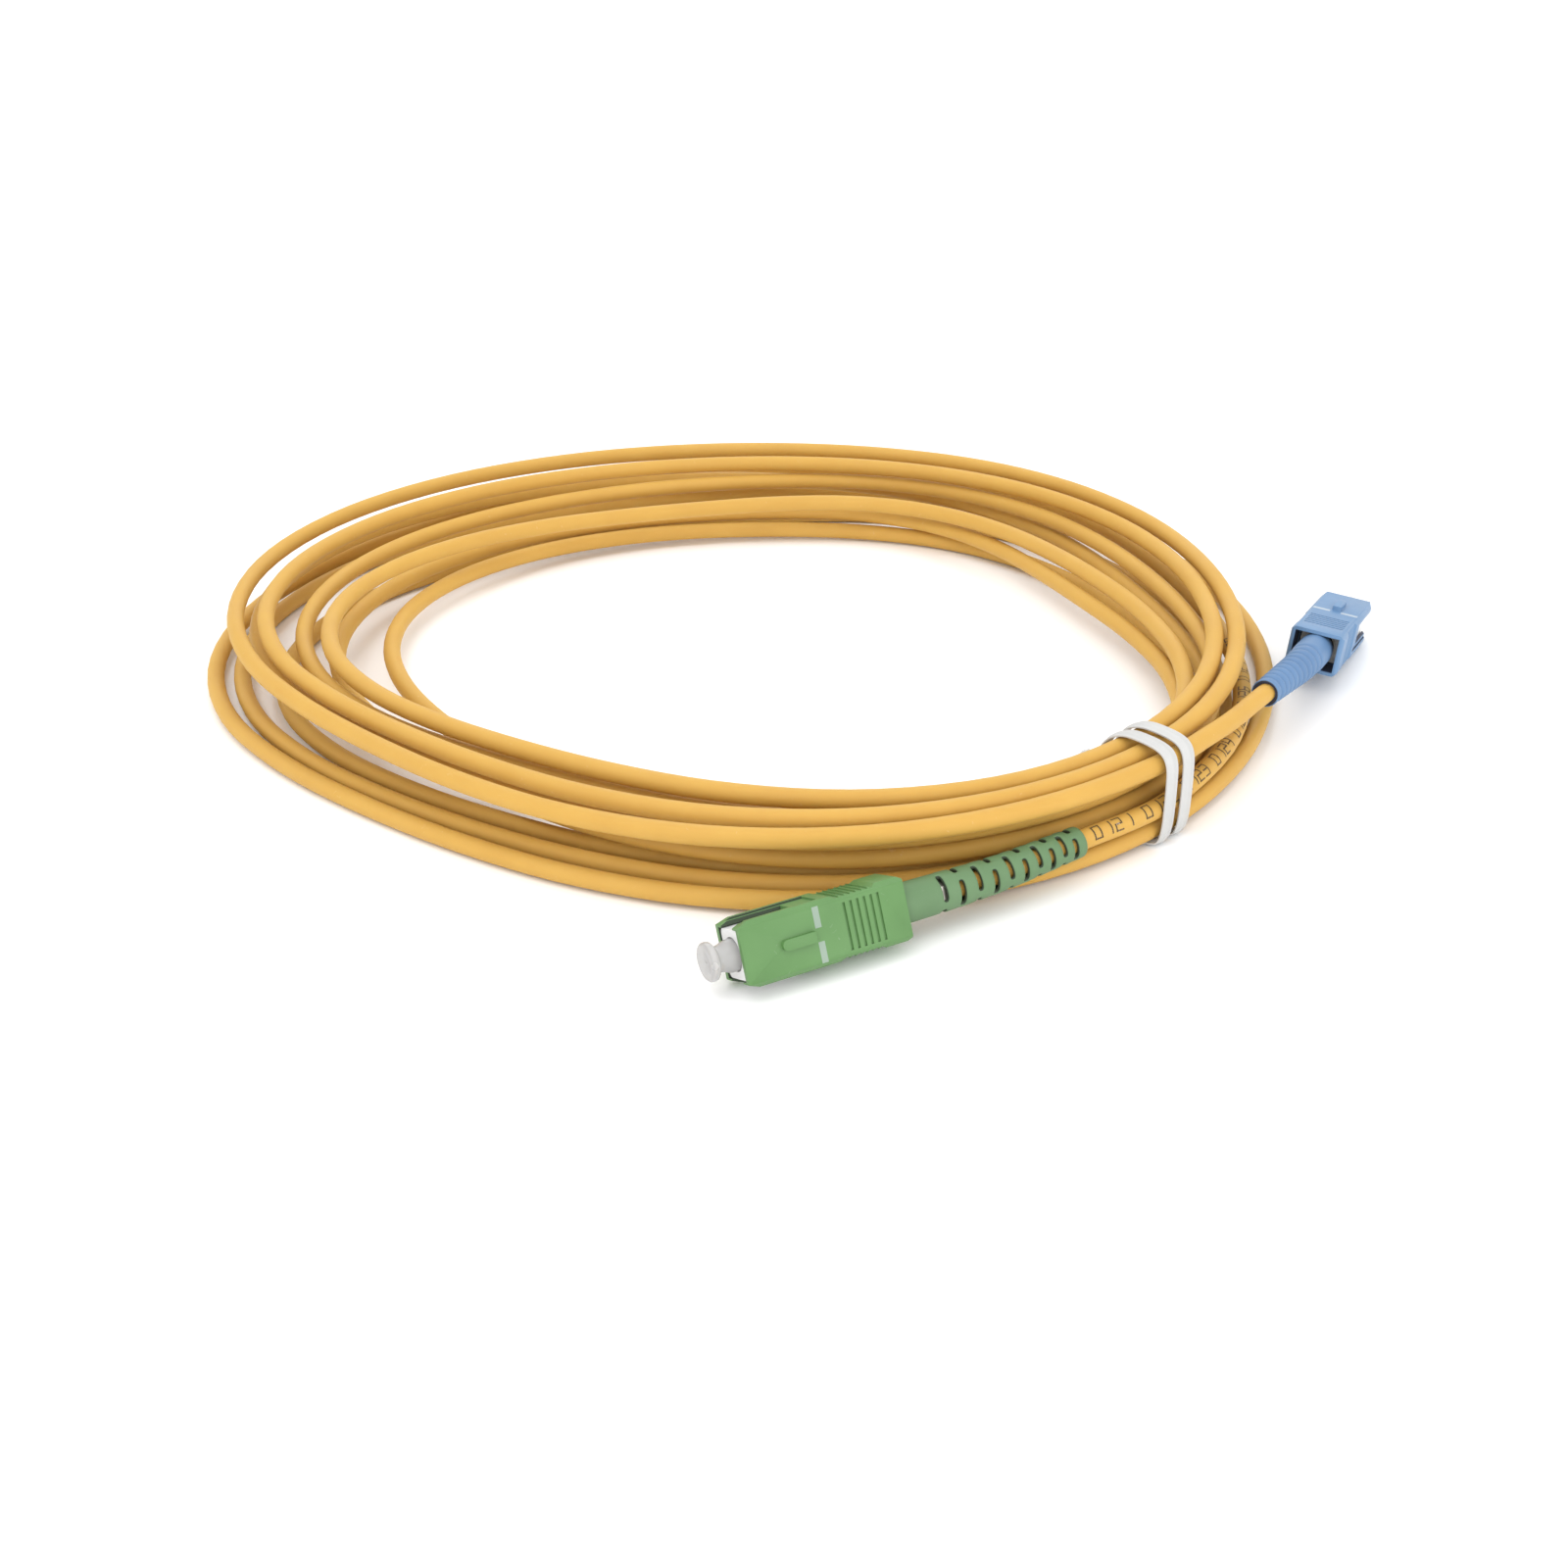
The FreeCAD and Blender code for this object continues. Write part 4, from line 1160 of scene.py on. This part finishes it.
@dataclass
class TwistTie:
    """The white twist tie: two wraps of a flat strip with a wire in its middle.

    Its loop and tails are distances outward from the coil's middle column and upward from the
    floor, in millimetres.
    """

    loop: tuple[Pair, ...] = (
        (-9.0, 0.31), (4.0, 0.31), (5.7, 1.2), (5.9, 9.8),
        (5.5, 13.9), (2.8, 15.3), (-5.6, 15.2), (-9.4, 8.6),
    )
    first_tail: tuple[Pair, ...] = ((-15.0, 4.9), (-10.6, 4.3))
    last_tail: tuple[Pair, ...] = ((-10.6, 6.3), (-15.0, 6.5))
    wraps: int = 2
    pitch: float = 3.75 * MM
    width: float = 2.65 * MM
    wire: float = 0.6 * MM
    wing: float = 0.26 * MM
    wing_end: float = 0.42
    crown: float = 0.25
    core_d: float = 0.36 * MM
    core_sides: int = 12
    steps: int = 10
    edge: float = 0.05 * MM
    pieces: list[bpy.types.Object] = field(default_factory=list)

    def path(self, coil: Coil) -> tuple[list[Vector], Vector]:
        """The strip's route and the cable's direction inside it.

        Args:
            coil: The coil that it ties.

        Returns:
            The route's control points and the cable's unit direction.
        """
        middle = coil.point(0)
        way = coil.direction(0)
        outward = way.cross(UP).normalized()
        base = middle - outward * coil.pitch * (1 - coil.passes[0][0])
        flat = self.first_tail + self.loop * self.wraps + self.last_tail
        points = []
        for index, (out, height) in enumerate(flat):
            round_share = (index - len(self.first_tail)) / (len(self.loop) * self.wraps - 1)
            share = min(max(round_share, 0.0), 1.0) - 0.5
            point = base + outward * out * MM + way * self.pitch * self.wraps * share
            points.append(Vector((point.x, point.y, height * MM)))
        return points, way

    def strip_section(self) -> list[Pair]:
        """The coated strip's section: two flat wings beside a thicker middle."""
        half = self.width / 2
        right = [(self.crown, self.wire), (self.wing_end, self.wing), (1.0, self.wing)]
        left = [(-share, thick) for share, thick in reversed(right)]
        section = [(share * half, thick / 2) for share, thick in left + right]
        return section + [(wide, -thick) for wide, thick in reversed(section)]

    def core_section(self) -> list[Pair]:
        """The wire's round section."""
        turns = [2 * math.pi * index / self.core_sides for index in range(self.core_sides)]
        return [(self.core_d / 2 * math.cos(turn), self.core_d / 2 * math.sin(turn)) for turn in turns]

    @staticmethod
    def sweep(name: str, line: Line, across: Vector, section: list[Pair]) -> bpy.types.Object:
        """Carry a section along a line.

        Args:
            name: The object's name.
            line: The line.
            across: The direction of the section's width.
            section: Its corners: how far across and how far out.

        Returns:
            The object.
        """
        points = []
        faces = []
        count = len(section)
        for distance in line.lengths:
            centre, way = line.smooth_at(distance)
            over = across.cross(way).normalized()
            points += [centre + across * wide + over * thick for wide, thick in section]
        for row in range(len(line.lengths) - 1):
            faces += band(row * count, (row + 1) * count, count)
        faces += [tuple(range(count)), tuple(range(len(points) - count, len(points)))]
        swept = mesh_object(name, points, faces)
        shade_smooth(swept)
        return swept

    def build(self, coil: Coil) -> None:
        """Make the coated strip and its wire along the tie's route.

        Args:
            coil: The coil that it ties.
        """
        route, across = self.path(coil)
        guide = smooth_curve("tie_route", route, self.steps)
        line = centre_line(guide)
        bpy.data.objects.remove(guide)
        strip = soften(self.sweep("twist_tie", line, across, self.strip_section()), self.edge, 40.0)
        core = self.sweep("tie_core", line, across, self.core_section())
        for piece, node, slot in ((strip, "tie_sheath", "tie_plastic"), (core, "tie_wire", "spring_steel")):
            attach(piece, "cord")
            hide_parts(node)
            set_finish(piece, slot)
            self.pieces.append(piece)

    def dress(self, wardrobe: Wardrobe) -> None:
        """Give the strip and its wire their finishes."""
        for piece in self.pieces:
            piece.data.materials.append(wardrobe[piece["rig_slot"]])


# Strokes of a plain numeral, each from one corner of its box to another, and those of each digit
STROKES = {
    "a": ((0, 1), (1, 1)), "b": ((1, 1), (1, 0.5)), "c": ((1, 0.5), (1, 0)), "d": ((1, 0), (0, 0)),
    "e": ((0, 0), (0, 0.5)), "f": ((0, 0.5), (0, 1)), "g": ((0, 0.5), (1, 0.5)),
}
DIGITS = {
    "0": "abcdef", "1": "bc", "2": "abged", "3": "abgcd", "4": "fgbc", "5": "afgcd", "6": "afgedc",
    "7": "abc", "8": "abcdefg",
}


@dataclass
class JacketPrint:
    """Plain numbers printed along the jacket in small ink dots."""

    text: str = "0121 0122 0123 0124 0125 0126 0127 0128"
    start: float = 30.0 * MM
    facing: Triple = (0.0, -0.75, 0.66)
    height: float = 2.0 * MM
    width: float = 1.25 * MM
    spacing: float = 2.05 * MM
    dot: float = 0.30 * MM
    dot_gap: float = 0.28 * MM
    lift: float = 0.012 * MM
    dot_sides: int = 8
    piece: bpy.types.Object = None

    def dots(self) -> list[Pair]:
        """Where the ink dots lie: how far along and how far up."""
        places = []
        for index, digit in enumerate(self.text):
            for stroke in DIGITS.get(digit, ""):
                start, end = STROKES[stroke]
                size = abs(end[0] - start[0]) * self.width + abs(end[1] - start[1]) * self.height
                count = max(2, round(size / self.dot_gap))
                for step in range(count + 1):
                    along = start[0] + (end[0] - start[0]) * step / count
                    up = start[1] + (end[1] - start[1]) * step / count
                    places.append((index * self.spacing + along * self.width, (up - 0.5) * self.height))
        return places

    def build(self, line: Line, radius: float) -> None:
        """Print the numbers on the cable.

        Args:
            line: The cable's centre line, read in the direction of the text.
            radius: The cable's radius.
        """
        facing = Vector(self.facing)
        points = []
        faces = []
        for along, up in self.dots():
            centre, way = line.smooth_at(self.start + along)
            front = (facing - way * facing.dot(way)).normalized()
            over = front.cross(way)
            turn = up / radius
            out = front * math.cos(turn) + over * math.sin(turn)
            rise = over * math.cos(turn) - front * math.sin(turn)
            first = len(points)
            for side in range(self.dot_sides):
                angle = 2 * math.pi * side / self.dot_sides
                spread = (way * math.cos(angle) + rise * math.sin(angle)) * self.dot / 2
                points.append(centre + out * (radius + self.lift) + spread)
            faces.append(tuple(range(first, first + self.dot_sides)))
        self.piece = mesh_object("jacket_print", points, faces)
        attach(self.piece, "cord")
        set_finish(self.piece, "jacket")

    def dress(self, wardrobe: Wardrobe) -> None:
        """Give the print its ink."""
        self.piece.data.materials.append(wardrobe["print"])


@dataclass
class Studio:
    """The pale floor, the camera and the lights, each with its name, place, size and power."""

    eye: Triple = (-0.0012, -0.3453, 0.1537)
    down: float = math.radians(26.8)
    roll: float = math.radians(2.1)
    lens: float = 49.5
    sensor: float = 36.0
    near: float = 0.01
    far: float = 20.0
    floor_size: float = 16.0
    sky: float = 1.1
    lamps: tuple[tuple[str, Triple, float, float], ...] = (
        ("key_light", (-0.25, -0.25, 0.9), 0.8, 2.9),
        ("fill_light", (0.7, -0.6, 0.4), 0.9, 2.6),
        ("front_light", (-0.2, -0.9, 0.25), 0.9, 2.4),
        ("back_light", (0.1, 0.9, 0.7), 0.8, 2.0),
    )

    def build_camera(self) -> None:
        """Set the camera at the photograph's angle."""
        ahead = Vector((0.0, math.cos(self.down), -math.sin(self.down)))
        below = Vector((0.0, -math.sin(self.down), -math.cos(self.down)))
        across = ALONG * math.cos(self.roll) + below * math.sin(self.roll)
        under = below * math.cos(self.roll) - ALONG * math.sin(self.roll)
        data = bpy.data.cameras.new("camera")
        data.lens = self.lens
        data.sensor_width = self.sensor
        data.clip_start = self.near
        data.clip_end = self.far
        camera = new_object("camera", data)
        turned = Matrix((across, -under, -ahead)).transposed().to_4x4()
        camera.matrix_world = Matrix.Translation(self.eye) @ turned
        bpy.context.scene.camera = camera

    def build_floor(self, wardrobe: Wardrobe) -> None:
        """Lay the floor and give it its finish."""
        half = self.floor_size / 2
        square = ((-half, -half), (half, -half), (half, half), (-half, half))
        floor = mesh_object("floor", [Vector((x, y, 0.0)) for x, y in square], [(0, 1, 2, 3)])
        floor.data.materials.append(wardrobe["floor"])

    def build_lights(self) -> None:
        """Hang soft square lights that face the coil."""
        for name, place, size, power in self.lamps:
            data = bpy.data.lights.new(name, "AREA")
            data.size = size
            data.energy = power
            lamp = new_object(name, data)
            lamp.location = place
            lamp.rotation_euler = (-Vector(place)).to_track_quat("-Z", "Y").to_euler()

    def build_sky(self) -> None:
        """Light everything evenly from all round."""
        world = bpy.data.worlds.new("studio_world")
        world.use_nodes = True
        background = world.node_tree.nodes["Background"]
        background.inputs["Color"].default_value = (1.0, 1.0, 1.0, 1.0)
        background.inputs["Strength"].default_value = self.sky
        bpy.context.scene.world = world
        bpy.context.scene.view_settings.view_transform = "Standard"

    def build(self, wardrobe: Wardrobe) -> None:
        """Set up the studio."""
        self.build_camera()
        self.build_floor(wardrobe)
        self.build_lights()
        self.build_sky()


def dress_nodes(frame: dict, wardrobe: Wardrobe) -> None:
    """Give every node of the model the finish that the record names for it.

    Args:
        frame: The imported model.
        wardrobe: The finishes.
    """
    slots = {part["node"]: part["material_slot"] for part in frame["record"]["subparts"]}
    for name, node in frame["nodes"].items():
        material = wardrobe[slots[name]]
        if not node.material_slots:
            node.data.materials.append(material)
        for slot in node.material_slots:
            slot.material = material


def main() -> None:
    """Build the whole scene."""
    logging.basicConfig(level=logging.INFO, format="%(message)s")
    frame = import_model()
    wardrobe = Wardrobe()
    dress_nodes(frame, wardrobe)
    Studio().build(wardrobe)
    cable = Cable()
    cable.build()
    cable.dress(wardrobe)
    line = centre_line(cable.piece)
    log.info("%s, %.4f m long", cable.piece.name, line.lengths[-1])
    pieces = {}
    for kind in PlugKind:
        boot = BOOTS[kind].build(line if kind is PlugKind.ANGLED else line.reversed(), wardrobe)
        plug = Plug(kind)
        plug.build(frame["nodes"])
        plug.dress(wardrobe)
        pieces[kind] = [boot, *plug.pieces]
        for piece in pieces[kind]:
            log.info("%s", piece.name)
    tie = TwistTie()
    tie.build(cable.coil)
    tie.dress(wardrobe)
    mark = JacketPrint()
    mark.build(line, cable.diameter / 2)
    mark.dress(wardrobe)
    for piece in (*tie.pieces, mark.piece):
        log.info("%s", piece.name)
    cable.declare(pieces[PlugKind.FLAT])


if __name__ == "__main__":
    main()
